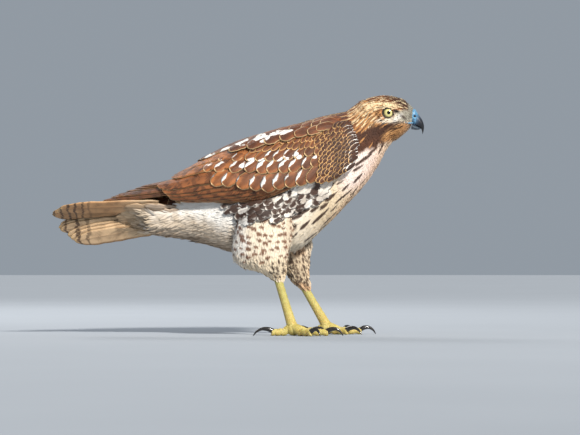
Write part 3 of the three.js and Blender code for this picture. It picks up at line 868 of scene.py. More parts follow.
def tufts(name, roots, ways, normals, bakeAt, look, colourOf, scale=1.0):
    count = len(roots)
    blades = look["blades"]
    scale = np.broadcast_to(scale, count).astype(float) * dice.normal(1, 0.05, count)
    sideways = unit(np.cross(normals, ways))
    ways = unit(np.cross(sideways, normals))
    order = np.arange(blades) - (blades - 1) / 2
    loose = math.radians(look["loose"])
    turn = np.radians(order * look["fan"])[None] + dice.normal(0, loose, (count, blades))
    turn = turn + dice.normal(0, loose, (count, 1))
    aim = ways[:, None] * np.cos(turn)[..., None] + sideways[:, None] * np.sin(turn)[..., None]
    taper = 1 - 0.42 * np.abs(order / order[-1]) ** 2.2
    reach = look["length"] * scale[:, None] * taper[None] * dice.uniform(0.93, 1.05, (count, blades))
    start = roots[:, None] + sideways[:, None] * (order[None] * look["width"] * 0.5)[..., None]
    start = start - normals[:, None] * blade["sunk"]
    lateral = unit(np.cross(normals[:, None], aim))
    climb = look["rise"] * np.minimum(scale, 1.1)[:, None] * dice.uniform(0.94, 1.06, (count, blades))

    def centre(share):
        up = climb[..., None, None] * (1 - (1 - share) ** 2.2) + blade["sunk"] * share
        out = aim[:, :, None] * reach[..., None, None] * share
        return start[:, :, None] + out + normals[:, None, None] * up

    spine = centre(blade["shares"][None, None, :, None])
    half = look["width"] / 2 * dice.uniform(0.85, 1.15, (count, blades))[..., None, None]
    half = half * blade["widths"][None, None, :, None]
    ridge = normals[:, None, None] * half * blade["thickness"] * 2
    aside = lateral[:, :, None] * half
    rings = np.stack([spine - aside, spine + ridge, spine + aside], 3)
    tip = centre(np.ones((1, 1, 1, 1)))
    points = np.concatenate([rings.reshape(count, blades, -1, 3), tip.reshape(count, blades, 1, 3)], 2)
    base = (np.arange(count * blades) * blade["points"])[:, None, None]
    quads = [(r + a, r + 3 + a, r + 3 + b, r + b) for r in (0, 3, 6) for a, b in ((0, 1), (1, 2), (2, 0))]
    quads = (base + np.array(quads)).reshape(-1, 4)
    tris = (base + np.array([(9, 12, 10), (10, 12, 11), (11, 12, 9), (0, 1, 2)])).reshape(-1, 3)
    flat = points.reshape(-1, 3)
    shade = dice.normal(1, 0.03, (count, 1, 1)) * dice.normal(1, 0.03, (count, blades, 1))
    # the blades are darkened towards their roots as painted shade
    colour = np.clip(colourOf(flat) * (shade * blade["paintedRootShade"]).reshape(-1, 1), 0, 1)
    # bake map: a small patch for each tuft at its place on the unwrapped skin
    inPatch = np.array([(a / 2, r * 0.3) for r in range(4) for a in range(3)] + [(0.5, 1.0)])
    spread = np.stack([(np.arange(blades)[:, None] + inPatch[None, :, 0] * 0.9) / blades,
                       np.broadcast_to(inPatch[:, 1], (blades, blade["points"]))], -1)
    bake = (0.002 + 0.993 * bakeAt[:, None, None] + 0.003 * spread[None]).reshape(-1, 2)
    piece = meshPiece(name, flat, [quads, tris], coatShader.material,
                      {"OFBake": np.concatenate([bake[quads.ravel()], bake[tris.ravel()]])},
                      {"tint": np.c_[colour, np.ones(len(colour))]})
    keepEdges(piece)
    settle(piece, "plumage")
    print(name, count, "tufts")


wingCover = dict(upper=-16, lower=-6, rear=-175, front=64, reach=1.02)  # degrees, and places along x


def underWing(points):  # feathers that the folded wing would cover wholly
    x, y, z = points.T
    r = rowsAt(wingRows, x)
    aside = np.abs(y) / r[..., 3]
    height = (z - r[..., 2]) / (r[..., 1] - r[..., 2])
    angle = np.degrees(np.arctan2(aside, height))
    edge = rowsAt(fleshRows, np.clip(x, fleshRows[-1][0], fleshRows[0][0]))
    inside = (angle > edge[..., 1] + wingCover["upper"]) & (angle < edge[..., 2] + wingCover["lower"])
    inside &= (x < wingCover["front"]) & (x > wingCover["rear"])
    return inside & (np.hypot(aside, height) < wingCover["reach"])


coatParts = {  # loft stretch, gaps along and across, and the look of one tuft
    "coatVent": dict(
        span=(0.05, 2.6), gap=(6.6, 5.6),
        look=dict(length=33, width=2.7, rise=3.1, blades=7, fan=4.5, loose=4.5)),
    "coatBelly": dict(
        span=(2.6, 5.4), gap=(5.6, 5.2),
        look=dict(length=22, width=2.4, rise=2.9, blades=7, fan=4.5, loose=2)),
    "coatBreast": dict(
        span=(5.4, 8.8), gap=(5.2, 4.8),
        look=dict(length=19, width=2.2, rise=2.7, blades=7, fan=4, loose=1.2)),
    "coatNeck": dict(
        span=(8.8, 11.2), gap=(4.0, 3.4),
        look=dict(length=14, width=1.8, rise=2.4, blades=6, fan=5, loose=2.5)),
    "coatHead": dict(
        span=(11.2, 15.0), gap=(2.6, 2.3),
        look=dict(length=8.4, width=1.2, rise=1.5, blades=5, fan=6, loose=3)),
    "coatFace": dict(
        span=(15.0, 15.95), gap=(1.6, 1.5),
        look=dict(length=4.2, width=0.7, rise=0.7, blades=4, fan=8, loose=5)),
}


bareFace = dict(eyeX=116, eyeZ=310, eyeLength=8.7, eyeHeight=8.0, inner=14,
                billX=151, billZ=300, billRadius=4, mouth=1.5)


def bareSkin(points, t):  # round the eye, where the bill joins, and along the mouth
    x, y, z = points.T
    eyeRing = np.hypot((x - bareFace["eyeX"]) / bareFace["eyeLength"],
                       (z - bareFace["eyeZ"]) / bareFace["eyeHeight"])
    atEye = (np.abs(y) > bareFace["inner"]) & (eyeRing < 1)
    atBill = (np.hypot(x - bareFace["billX"], z - bareFace["billZ"]) < bareFace["billRadius"]) & (t > 15)
    mouthZ = np.interp(x, *gapeLine[:, [0, 2]].T)
    return atEye | atBill | ((np.abs(z - mouthZ) < bareFace["mouth"]) & (x > 126))


def coat(name, point, lie, part, within, covered, scale, colourOf):  # scattered tufts of one stretch
    places, ways, t, angle = scatter(point, lie, *part["span"], *part["gap"])
    roots, normals, kept = seated(places, within)
    kept &= ~covered(roots, normals, t)
    low, high = part.get("bakeSpan", part["span"])
    bakeAt = np.clip(np.stack([angle / (2 * math.pi), (t - low) / (high - low)], -1), 0, 1)
    tufts(name, roots[kept], unit(ways + part.get("lean", (0, 0, 0)))[kept], normals[kept], bakeAt[kept],
          part["look"], colourOf, scale(roots, normals, t)[kept])


def bodyScale(roots, normals, t):  # short under the wings, long in the beard
    lowered = np.where((normals[:, 2] > 0.25) & (roots[:, 0] < 40), 0.55, 1)
    return (1 + 0.8 * patch(roots[:, 0], roots[:, 2], 128, 280, 17, 9, 25, 0.4)) * lowered


for partName, part in coatParts.items():
    coat(partName, skinPoint, bodyLie, part, 5,
         lambda roots, normals, t: underWing(roots) | bareSkin(roots, t),
         bodyScale, lambda p: marked(p, groundColour(p), bodyMarks))


def rumpLie(t, angle):
    return unit(rumpPoint(np.minimum(t + 0.04, 1), angle) - rumpPoint(np.maximum(t - 0.04, 0), angle))


rumpPart = dict(span=(0.03, 0.93), bakeSpan=(0, 1), gap=(6.4, 5.4), look=coatParts["coatVent"]["look"])
coat("coatRump", lambda t, a: rumpPoint(t, a, skinFit["rump"]), rumpLie, rumpPart, 5,
     lambda roots, normals, t: ((normals[:, 2] >= 0.3) & (roots[:, 0] <= -206)
                                | (roots[:, 0] <= -218) & (roots[:, 2] >= 174)),
     lambda roots, normals, t: np.where(normals[:, 2] > 0.15, 0.45, 1), groundColour)

thighPart = dict(span=(0.25, 6.98), bakeSpan=(0, 7), gap=(5.2, 4.4), lean=(0.12, 0, 0),
                 look=dict(length=19, width=2.5, rise=2.7, blades=7, fan=5, loose=3.5))
for side in sideSign:
    coat("coatThigh" + side.capitalize(), thighShape(side, skinFit["thigh"]), thighLie(side), thighPart, 4,
         lambda roots, normals, t: (roots[:, 2] >= 174) & (np.abs(roots[:, 1]) >= 40),
         lambda roots, normals, t: np.interp(t, [0, 5, 7], [1, 0.9, 0.5]),
         lambda p: marked(p, thighColour(side, p), thighMarks[side]))
print("coat done")


# Large feathers: thin cambered vanes with a raised quill, laid in tiers.

acrossShares = np.array([-1, -0.72, -0.4, -0.1, 0, 0.1, 0.4, 0.72, 1])  # from edge to edge
quill = dict(height=0.3, width=0.07)


def vanePoints(surface, scaleAlong, scaleAcross, root, tip, width, lift, look, steps):
    # root and tip are numbers of the surface; lift is the height at the root, the middle and the tip
    u = 1 - (1 - np.linspace(0, 1, steps)) ** 1.5
    x = root[0] + (tip[0] - root[0]) * u
    unitAlong = scaleAlong(x)
    unitAcross = scaleAcross(x)
    middle = root[1] + (tip[1] - root[1]) * u + look.get("bow", 0.0) * np.sin(math.pi * u) / unitAcross
    run = (tip[0] - root[0]) * unitAlong
    rise = (tip[1] - root[1]) * unitAcross
    length = np.hypot(run, rise)
    swell = np.minimum(1, look.get("neck", 0.4) + 1.5 * u)
    point = look.get("point", 2.0) * dice.uniform(0.85, 1.15)
    close = np.where(u > 0.68, np.maximum(0, 1 - ((u - 0.68) / 0.32) ** point) ** 0.5, 1)
    half = np.maximum(0.12, width / 2 * swell * close)
    height = np.interp(u, [0, 0.5, 1], lift)
    e = acrossShares[None]
    phase = dice.uniform(0, 6.3, 4)
    ragged = look.get("ragged", 0.045)
    wave = [1 + ragged * (np.sin(u * 19 + phase[k]) + np.sin(u * 43 + phase[k + 2])) for k in (0, 1)]
    sides = np.where(e < 0, wave[0][:, None], wave[1][:, None])
    spread = half[:, None] * (e * sides)
    offX = -(rise / length)[:, None] * spread / unitAlong[:, None]
    offQ = (run / length)[:, None] * spread / unitAcross[:, None]
    camber = look.get("camber", 0.8)
    thick = look.get("thick", 0.5)
    top = height[:, None] + look.get("roll", 0.0) * e + camber * (1 - e**2) * close[:, None]
    top = top + quill["height"] * np.sign(camber) * np.exp(-((e / quill["width"]) ** 2))
    under = top - thick * (1 - 0.75 * np.abs(e) ** 3) * np.maximum(close, 0.3)[:, None]
    upper = surface(x[:, None] + offX, middle[:, None] + offQ, top)
    lower = surface(x[:, None] + offX, middle[:, None] + offQ, under)
    ring = np.concatenate([upper, lower[:, -2:0:-1]], 1)
    around = np.concatenate([acrossShares, acrossShares[-2:0:-1]])
    size = length.mean()
    rim = np.minimum((1 - np.abs(around))[None] * half[:, None], ((1 - u) * size * 0.9)[:, None])
    vane = np.stack(np.broadcast_arrays(around[None], u[:, None] * size / 100, rim), -1)
    return ring, vane


def vaneFaces(steps, around):
    i = np.arange(steps - 1)[:, None] * around
    k = np.arange(around)[None]
    quads = np.stack([i + k, i + (k + 1) % around, i + around + (k + 1) % around, i + around + k], -1)
    corners = np.stack(np.broadcast_arrays(
        np.stack([k, k + 1, k + 1, k], -1) / around,
        np.stack([i, i, i + around, i + around], -1) / around / (steps - 1)), -1)
    return quads.reshape(-1, 4), corners.reshape(-1, 2)


def insideOut(points, quads):
    a, b, c, d = (points[quads[:, k]] for k in range(4))
    middle = points.mean(0)
    return (((a + b + c + d) / 4 - middle) * np.cross(c - a, d - b)).sum() < 0


def vanePiece(name, feathers, material, slot, nodes=(), mirror=1):
    # feathers: points, vane numbers, ground colour, marks, and for wings the strengths of hook and white
    steps, around = feathers[0][0].shape[:2]
    quads, inCell = vaneFaces(steps, around)
    inCell = inCell.reshape(-1, 4, 2)
    capRows = [np.arange(around)[::-1], np.arange(around) + (steps - 1) * around]
    if insideOut((feathers[0][0] * (1, mirror, 1)).reshape(-1, 3), quads):
        quads = quads[:, ::-1]
        inCell = inCell[:, ::-1]
        capRows = [row[::-1] for row in capRows]
    columns = math.ceil(math.sqrt(len(feathers)))
    points, vanes, grounds, marks, pales, faces, ends, corners = [], [], [], [], [], [], [], []
    for number, (ring, vane, ground, mark, *pale) in enumerate(feathers):
        points.append(ring.reshape(-1, 3) * (1, mirror, 1))
        vanes.append(vane.reshape(-1, 3))
        grounds.append(np.broadcast_to(ground, (steps, around, 4)).reshape(-1, 4))
        marks.append(np.broadcast_to(mark, (steps * around, 3)))
        share = vane[..., 1] / vane[..., 1].max()
        pale = [np.broadcast_to(p, share.shape) for p in (pale or (0, 0))]
        pales.append(np.stack([*pale, share], -1).reshape(-1, 3))
        faces.append(quads + number * steps * around)
        ends += [row + number * steps * around for row in capRows]
        cell = np.array([number % columns, number // columns])
        corners.append(((cell + 0.03 + 0.94 * inCell) / columns).reshape(-1, 2))
    dot = roundAngles(around)
    dots = np.tile(np.stack([np.cos(dot), np.sin(dot)], -1) * 0.0008 + 0.9975, (len(ends), 1))
    piece = meshPiece(name, np.concatenate(points), [np.concatenate(faces), np.array(ends)], material,
                      {"OFBake": np.concatenate([*corners, dots])},
                      {"vane": np.concatenate(vanes), "ground": np.concatenate(grounds),
                       "marks": np.concatenate(marks), "pale": np.concatenate(pales)})
    settle(piece, slot, *nodes)
    print(name, len(feathers), "feathers")


def vaneShader(name, dark, edgeColour, edgeWidth=1.5, barFrom=0.0, mottle=0.4, barDepth=0.55):
    shader = Shader(name, 0.6)
    across, along, rim = shader.parts(shader.layer("vane", 1))
    edge, bars, centre = shader.parts(shader.layer("marks", 1))
    hook, white, share = shader.parts(shader.layer("pale", 1))
    ground = shader.layer("ground")
    speck = shader.noise(260, 4, 0.6)
    wide = shader.noise(60, 3, 0.5)
    # streaks that run with the barbs, from the quill out to the edge
    barbAt = {0: along * 60.0 - across.size() * 7.0, 1: across * 0.8, 2: wide * 2.0}
    barbLine = shader.node("ShaderNodeCombineXYZ", None, barbAt)
    streak = shader.noise(1.0, 3, 0.6, barbLine)
    deeper = shader.mix(1.0, ground, (0.5, 0.44, 0.4), "MULTIPLY")
    lighter = shader.mix(1.0, ground, (1.32, 1.28, 1.2), "MULTIPLY")
    colour = shader.mix(wide.step(0.35, 0.75) * 0.45, ground, deeper)
    colour = shader.mix(streak.step(0.5, 0.75) * 0.5, colour, lighter)
    blot = (streak - 0.5) * 1.2 + (wide - 0.5) * 1.6
    colour = shader.mix(blot.step(0.02, 0.3) * mottle, colour, dark)
    shaft = (1.0 - across.size() + (wide - 0.5) * 1.2 + (streak - 0.5) * 0.5).step(0.35, 0.75) * centre
    colour = shader.mix(shaft, colour, dark)
    barWave = (along * bars * 100.0 + wide * 7.0 + across.size() * 1.6).sine() + (streak - 0.5) * 2.6
    barred = bars.step(0.0, 0.1) * along.step(barFrom, barFrom + 0.35)
    colour = shader.mix(barWave.step(0.25, 0.9) * barred * barDepth, colour, dark)
    paleRim = (rim + (speck - 0.5) * 1.1).step(edgeWidth, edgeWidth * 0.45) * along.step(0.04, 0.12) * edge
    colour = shader.mix(paleRim, colour, edgeColour)
    torn = (speck - 0.5) * 0.7 + (streak - 0.5) * 0.5 + (wide - 0.5) * 1.2
    hooked = (across - (share - 0.72) * (share - 0.72) * 7.0 + torn * 0.5 + hook).step(1.22, 1.36)
    blotch = (white + (across.size() - 0.55) * 0.8 + torn * 0.8).step(0.5, 0.62) * white.step(0.05, 0.3)
    blotch = blotch * (share + torn * 0.1).step(0.95, 0.9)
    colour = shader.mix(hooked + (1.0 - hooked) * blotch, colour, tone["white"])
    shaftLine = across.size().step(0.09, 0.03)
    colour = shader.mix(shaftLine * 0.5, colour, deeper)
    shader.colour(colour)
    barbs = (along * 2600.0 - across.size() * 60.0).sine()
    shader.bump(barbs * 0.3 + speck * 0.8 + shaftLine * 0.6, 0.3, 0.0004)
    return shader.material


wingMaterial = vaneShader("wing feathers", paint(54, 28, 15), paint(240, 204, 150), 1.9)
smallMaterial = vaneShader("small wing feathers", paint(44, 23, 12), paint(236, 186, 122), 1.55, mottle=0.3)
flightMaterial = vaneShader("flight feathers", paint(44, 24, 14), paint(222, 180, 128), 1.3,
                            barFrom=0.2, mottle=0.8)
tailMaterial = vaneShader("tail feathers", paint(74, 52, 36), paint(204, 172, 128), 0.9,
                          barFrom=0.8, mottle=0.25, barDepth=0.9)


def one(x):
    return 1.0 + 0 * np.asarray(x, float)


whitePatches = [  # where the folded wing's feathers are white: x, z, half length, half width, slope
    (-60, 274, 12, 7, 8), (-34, 282, 18, 4, 10), (-87, 268, 10, 5, 20), (-110, 259, 9, 4, 24),
    (-81, 239, 14, 5, 24), (-31, 243, 9, 5, 30), (-11, 249, 6, 5, 0), (-61, 244, 6, 5, 0),
    (13, 247, 4, 3, 0), (-112, 243, 10, 4, 20), (-128, 238, 8, 3, 20), (-132, 251, 8, 3, 24),
    (50, 281, 8, 4, -40),
]


def whiteness(points):
    return np.max([patch(points[..., 0], points[..., 2], *row, 0.3) for row in whitePatches], axis=0)


def wingTier(shape, steps):
    made = []
    count = shape["count"]
    look = shape["look"]
    for i in range(count):
        t = i / max(count - 1, 1)
        root, tip = (alongRows(shape[key], t * (len(shape[key]) - 1)) for key in ("roots", "tips"))
        tip = tip + dice.normal(0, 1, 2) * shape.get("loose", 1.0)
        width = (shape["width"][0] + (shape["width"][1] - shape["width"][0]) * t) * dice.uniform(0.92, 1.08)
        lift = [h + i * shape.get("layer", 0.0) for h in shape["lift"]]
        ring, vane = vanePoints(wingPoint, one, wingScale, (root[0], float(onWing(*root))),
                                (tip[0], float(onWing(*tip))), width, lift, look, steps)
        shade = dice.normal(1, 0.09)
        base = np.asarray(shape["colour"][0]) + (np.asarray(shape["colour"][-1]) - shape["colour"][0]) * t
        ground = np.append(base * shade, 1.0)
        # how strong the white hook along one edge of a feather is, and how white its place of the wing
        hook = shape.get("hook", 0.0) * dice.choice([0.6, 0.9, 1, 1.1])
        hook = hook * patch(root[0], root[1], -45, 244, 72, 40)
        white = np.clip(whiteness(ring) * shape.get("white", 0.0) * dice.uniform(0.7, 1.2), 0, 1)
        marks = (shape["edge"] * dice.uniform(0.7, 1.0), shape.get("bars", 0), shape.get("centre", 0.5))
        made.append((ring, vane, ground, marks, hook, white))
    return made


smallLook = dict(roll=0.5, camber=0.7, thick=0.4)
# Each tier of the wing: places of the roots and tips in the side view, from front to rear, the widths of
# the first and last feather, and lift, the height over the wing's surface at root, middle and tip.
wingTiers = {
    "primaries": dict(
        count=7, roots=[(-106, 218), (-116, 230)], tips=[(-288, 189), (-262, 198), (-228, 209)],
        width=(19, 22), lift=(-9, -8.5, -4.5), layer=0.7, edge=0.6, bars=0.34, centre=0.2,
        colour=[paint(112, 68, 40)], look=dict(point=2.6, thick=0.45, camber=0.6)),
    "secondaries": dict(
        count=8, roots=[(-8, 216), (-34, 219), (-58, 226)],
        tips=[(-150, 189), (-182, 190), (-198, 200), (-206, 210)], width=(27, 27), lift=(-6, -4.6, -4.2),
        layer=0.6, edge=0.7, bars=0.3, centre=0.15, colour=[paint(152, 92, 50)],
        look=dict(point=3.2, camber=0.6, bow=5)),
    "tertials": dict(
        count=7, roots=[(-44, 226), (-56, 238), (-66, 262)],
        tips=[(-186, 219), (-178, 226), (-163, 236), (-146, 245)], width=(26, 22), lift=(-2.4, 1.2, 1.6),
        layer=0.35, edge=1.0, bars=0.32, centre=0.1, colour=[paint(172, 106, 56)],
        look=dict(point=2.4, camber=0.8, bow=-3)),
    "greaterCoverts": dict(
        count=12, roots=[(62, 246), (30, 241), (-12, 232), (-58, 227), (-104, 232)],
        tips=[(44, 228), (6, 213), (-34, 205), (-78, 203), (-128, 209)], width=(19, 23),
        lift=(-1.8, 0.6, 1.3), edge=1.0, hook=0.82, colour=[paint(96, 52, 27), paint(176, 108, 58)],
        look=dict(roll=0.8, camber=1.0)),
    "medianCoverts": dict(
        count=13, roots=[(64, 260), (28, 253), (-12, 248), (-58, 245), (-112, 248)],
        tips=[(46, 244), (10, 234), (-38, 226), (-84, 226), (-140, 228)], width=(16, 20),
        lift=(-1.6, 1.0, 1.8), edge=1.0, hook=0.9, white=0.8,
        colour=[paint(112, 64, 34), paint(168, 102, 55)], look=dict(roll=0.8, camber=0.9)),
    "medianHigh": dict(
        count=14, roots=[(64, 272), (26, 267), (-12, 263), (-58, 259), (-108, 258)],
        tips=[(47, 257), (10, 250), (-36, 243), (-80, 241), (-132, 240)], width=(13, 17),
        lift=(-1.5, 1.3, 2.2), edge=0.9, hook=0.7, white=0.95,
        colour=[paint(118, 68, 36), paint(164, 100, 54)], look=dict(roll=0.6, camber=0.8)),
    "lesserOne": dict(
        count=17, roots=[(64, 281), (30, 278), (-6, 274), (-50, 269)],
        tips=[(51, 266), (18, 260), (-22, 257), (-76, 253)], width=(9, 10), lift=(-1.5, 1.7, 2.4),
        edge=1.0, white=0.5, colour=[paint(136, 80, 41)], look=smallLook),
    "lesserTwo": dict(
        count=17, roots=[(64, 287), (30, 285), (-6, 281), (-48, 275)],
        tips=[(52, 273), (18, 268), (-20, 264), (-70, 260)], width=(8.5, 9.5), lift=(-1.4, 2.0, 2.7),
        edge=0.9, colour=[paint(128, 74, 38)], look=smallLook),
    "lesserThree": dict(
        count=15, roots=[(62, 293), (30, 292), (-4, 288), (-42, 281)],
        tips=[(52, 280), (20, 276), (-16, 272), (-56, 267)], width=(8.5, 9), lift=(-1.4, 2.2, 2.9),
        edge=0.85, colour=[paint(110, 62, 31)], look=smallLook),
    # The top row's dark brown is painted shade under the scapulars' lower edge.
    "lesserFour": dict(
        count=13, roots=[(60, 299), (32, 298), (2, 294), (-32, 287)],
        tips=[(50, 287), (22, 284), (-10, 279), (-44, 273)], width=(8.5, 9), lift=(-1.4, 2.2, 2.9),
        edge=0.7, colour=[paint(76, 40, 20)], look=smallLook),
    "scapularLow": dict(
        count=9, roots=[(46, 292), (-16, 284), (-70, 272)], tips=[(14, 281), (-56, 264), (-150, 242)],
        width=(16, 24), lift=(-1.6, 4.6, 6.0), edge=0.8, white=0.95, colour=[paint(124, 70, 35)],
        look=dict(roll=0.6, point=2.4, camber=0.9)),
    "scapularMiddle": dict(
        count=9, roots=[(48, 299), (-8, 291), (-66, 279)], tips=[(20, 290), (-42, 276), (-126, 254)],
        width=(16, 23), lift=(-2.2, 3.4, 4.4), edge=0.85, white=0.95, colour=[paint(128, 72, 36)],
        look=dict(roll=0.5, point=2.4, camber=0.8)),
    "scapularHigh": dict(
        count=8, roots=[(50, 305), (-4, 297), (-58, 285)], tips=[(24, 298), (-36, 284), (-108, 263)],
        width=(15, 21), lift=(-3, 1.2, 1.8), edge=0.85, white=0.8, colour=[paint(130, 74, 38)],
        look=dict(roll=0.4, point=2.4, camber=0.7)),
}
wingPieces = {  # the tiers of each piece, the steps along a feather and the finish
    "flight": (("primaries", "secondaries", "tertials"), 16, flightMaterial),
    "coverts": (("greaterCoverts", "medianCoverts", "medianHigh"), 13, wingMaterial),
    "lesser": (("lesserOne", "lesserTwo", "lesserThree", "lesserFour"), 9, smallMaterial),
    "shoulder": (("scapularLow", "scapularMiddle", "scapularHigh"), 13, wingMaterial),
}
for side, sign in sideSign.items():
    for group, (tierNames, steps, finish) in wingPieces.items():
        feathers = [feather for tierName in tierNames for feather in wingTier(wingTiers[tierName], steps)]
        stands = (f"wing_{side}",) if group == "coverts" else ()
        vanePiece(group + side.capitalize(), feathers, finish, "upper_plumage", stands, -sign)

# The wrist: small scale-like feathers in rows along the wing's leading edge.
wrist = dict(rows=9, count=11, frontX=71.5, rearX=30, angles=(50, 97), width=8.2, length=12,
             lift=(-1.4, 2.2, 2.6), darkRows=5, white=[0.36, 0.28, 0, 0, 0, 0, 0, 0, 0])


def wristTier():
    made = []
    for row in range(wrist["rows"]):
        dark = row < wrist["darkRows"]
        for i in range(wrist["count"]):
            share = (i + 0.5 * (row % 2)) / wrist["count"]
            angle = wrist["angles"][0] + (wrist["angles"][1] - wrist["angles"][0]) * share
            x = wrist["frontX"] + (wrist["rearX"] - wrist["frontX"]) * row / (wrist["rows"] - 1)
            x = x - 9 * ((angle - 76) / 26) ** 2 + dice.normal(0, 0.7)
            root = (x + 2, angle + dice.normal(0, 1))
            tip = (x - wrist["length"], angle + 2.5 + dice.normal(0, 1))
            ring, vane = vanePoints(wingPoint, one, wingScale, root, tip, wrist["width"], wrist["lift"],
                                    smallLook, 8)
            ground = np.append(paint(84, 48, 27) * dice.normal(1, 0.12) * (0.75 if dark else 1.3), 1.0)
            edge = dice.uniform(0.35, 0.75) if dark else 0.95
            made.append((ring, vane, ground, (edge if row else 1.0, 0, 0.4), 0, wrist["white"][row]))
    return made


for side, sign in sideSign.items():
    vanePiece("wrist" + side.capitalize(), wristTier(), smallMaterial, "upper_plumage", (), -sign)


# The flank: loose dark and white feathers that hang over the body's side and the top of the thigh.
flankGrid = dict(x=np.arange(-160, 62, 3.0), z=np.arange(118, 232, 3.0), step=3.0, beyond=30, rounds=6)


def flankDepths(sign):  # how far out the skin lies over a grid of the side view
    depths = np.full((len(flankGrid["x"]), len(flankGrid["z"])), float(flankGrid["beyond"]))
    for i, x in enumerate(flankGrid["x"]):
        for k, z in enumerate(flankGrid["z"]):
            hit = skinHit(x, z, sign)
            if hit is not None:
                depths[i, k] = abs(hit[1])
    for _ in range(flankGrid["rounds"]):
        padded = np.pad(depths, 1, mode="edge")
        around = (padded[:-2, 1:-1] + padded[2:, 1:-1] + padded[1:-1, :-2] + padded[1:-1, 2:]) / 4
        depths = np.maximum(depths * 0.35 + around * 0.65, depths - 1.5)
    return depths


def flankSurface(depths):
    def place(x, z, height):
        x, z, height = np.broadcast_arrays(x, z, height)
        i = np.clip((x - flankGrid["x"][0]) / flankGrid["step"], 0, len(flankGrid["x"]) - 1.001)
        k = np.clip((z - flankGrid["z"][0]) / flankGrid["step"], 0, len(flankGrid["z"]) - 1.001)
        a, b = i.astype(int), k.astype(int)
        p, q = i - a, k - b
        depth = ((depths[a, b] * (1 - q) + depths[a, b + 1] * q) * (1 - p)
                 + (depths[a + 1, b] * (1 - q) + depths[a + 1, b + 1] * q) * p)
        return np.stack([x, -depth - height, z], -1)
    return place


flankLook = dict(roll=0.2, camber=0.6, thick=0.35, point=1.5, ragged=0.14, neck=0.5)
flankRows = [  # height of the tips, their first and last x, number, share of dark ones
    (158, -90, -44, 5, 0.45), (164, -102, -26, 8, 0.65), (170, -114, -14, 10, 0.8), (176, -118, 0, 12, 0.8),
    (182, -114, 8, 12, 0.85), (188, -110, 14, 12, 0.85), (194, -92, 20, 11, 0.8),
]


def flankTier(surface):
    made = []
    for height, first, last, count, darkShare in flankRows:
        for x in np.linspace(first, last, count):
            tip = np.array([x, height]) + dice.normal(0, 2, 2)
            way = np.radians(np.interp(x, [-110, 20], [28, 46]) + dice.normal(0, 11))
            root = tip + 30 * np.array([np.cos(way), np.sin(way)])
            width = dice.uniform(10, 15)
            ring, vane = vanePoints(surface, one, one, root, tip, width, (1.5, 5.8, 7.0), flankLook, 16)
            e, u = vane[..., 0], vane[..., 1] / vane[..., 1].max()
            base = tone["white"] + (tone["beige"] - tone["white"]) * dice.uniform(0, 0.45)
            ground = np.tile(np.append(base, 1.0), (*ring.shape[:2], 1))
            blotch = ease(0.95, 0.65, np.abs(e) + 0.3 * grain(ring, 5, 41)) * ease(0.1, 0.35, u)
            paleTip = (1 - ease(0.9, 0.96, u)) if dice.random() < 0.5 else 1
            blotch = blotch * paleTip * (dice.random() < darkShare)
            ground[..., :3] = over(ground[..., :3], tone["dark"] * dice.uniform(0.6, 1.25), blotch * 0.98)
            made.append((ring, vane, ground, (0, 0, 0)))
    return made


for side, sign in sideSign.items():
    feathers = flankTier(flankSurface(flankDepths(sign)))
    vanePiece("flank" + side.capitalize(), feathers, tailMaterial, "plumage", (), -sign)


# The mantle: broad vanes over the back between the wings, and down to the tail.
back = dict(rear=0.92, front=9.2, rows=25, count=11, reach=26, lift=(-4.4, -1.6, -0.2), clip=(0.2, 15),
            look=dict(roll=0.3, camber=0.7, point=2.2))


def backScale(t):
    t = np.clip(np.asarray(t, float), *back["clip"])
    return np.linalg.norm(bodyPoint(t + 0.05, t * 0) - bodyPoint(t - 0.05, t * 0), axis=-1) / 0.1


def backAcross(t):
    return np.radians(alongRows(bodyRows, t)[..., 4] * 1.1)


def backSurface(t, angle, height):
    return bodyPoint(t, np.radians(angle), height)


def mantle():
    made = []
    for row in range(back["rows"]):
        t = back["front"] + (back["rear"] - back["front"]) * row / (back["rows"] - 1)
        for i in range(back["count"]):
            angle = (i - (back["count"] - 1) / 2 + 0.5 * (row % 2 - 0.5)) * (11 if t > 8 else 10)
            angle = angle + dice.normal(0, 1)
            length = back["reach"] * dice.uniform(0.9, 1.1) / float(backScale(t))
            tip = (t - length, angle * 1.02 + dice.normal(0, 0.8))
            ring, vane = vanePoints(backSurface, backScale, backAcross, (t, angle), tip, 16 if t < 8 else 12,
                                    back["lift"], back["look"], 11)
            ground = np.append(paint(106, 60, 31) * dice.normal(1, 0.1), 1.0)
            white = np.clip(whiteness(ring) + 0.5 * (dice.random() < 0.12), 0, 1)
            made.append((ring, vane, ground, (0.8 * dice.uniform(0.6, 1), 0, 0.8), 0, white))
    return made


vanePiece("mantle", mantle(), wingMaterial, "upper_plumage")


# Tail: twelve feathers on the rolled sheet, with soft coverts over and under their roots.
tailFeathers = {  # reach and place across of each tip, from the middle pair to the outermost
    1: [(156, 9), (158, 13), (157, 18), (152, 23), (149, 27), (146, 31)],
    -1: [(149, -8), (152, -12), (150, -15), (141, -24), (137, -28), (132, -32)],
}


rectrixLook = dict(thick=0.45, point=1.7, neck=0.8, camber=-0.5, ragged=0.03)


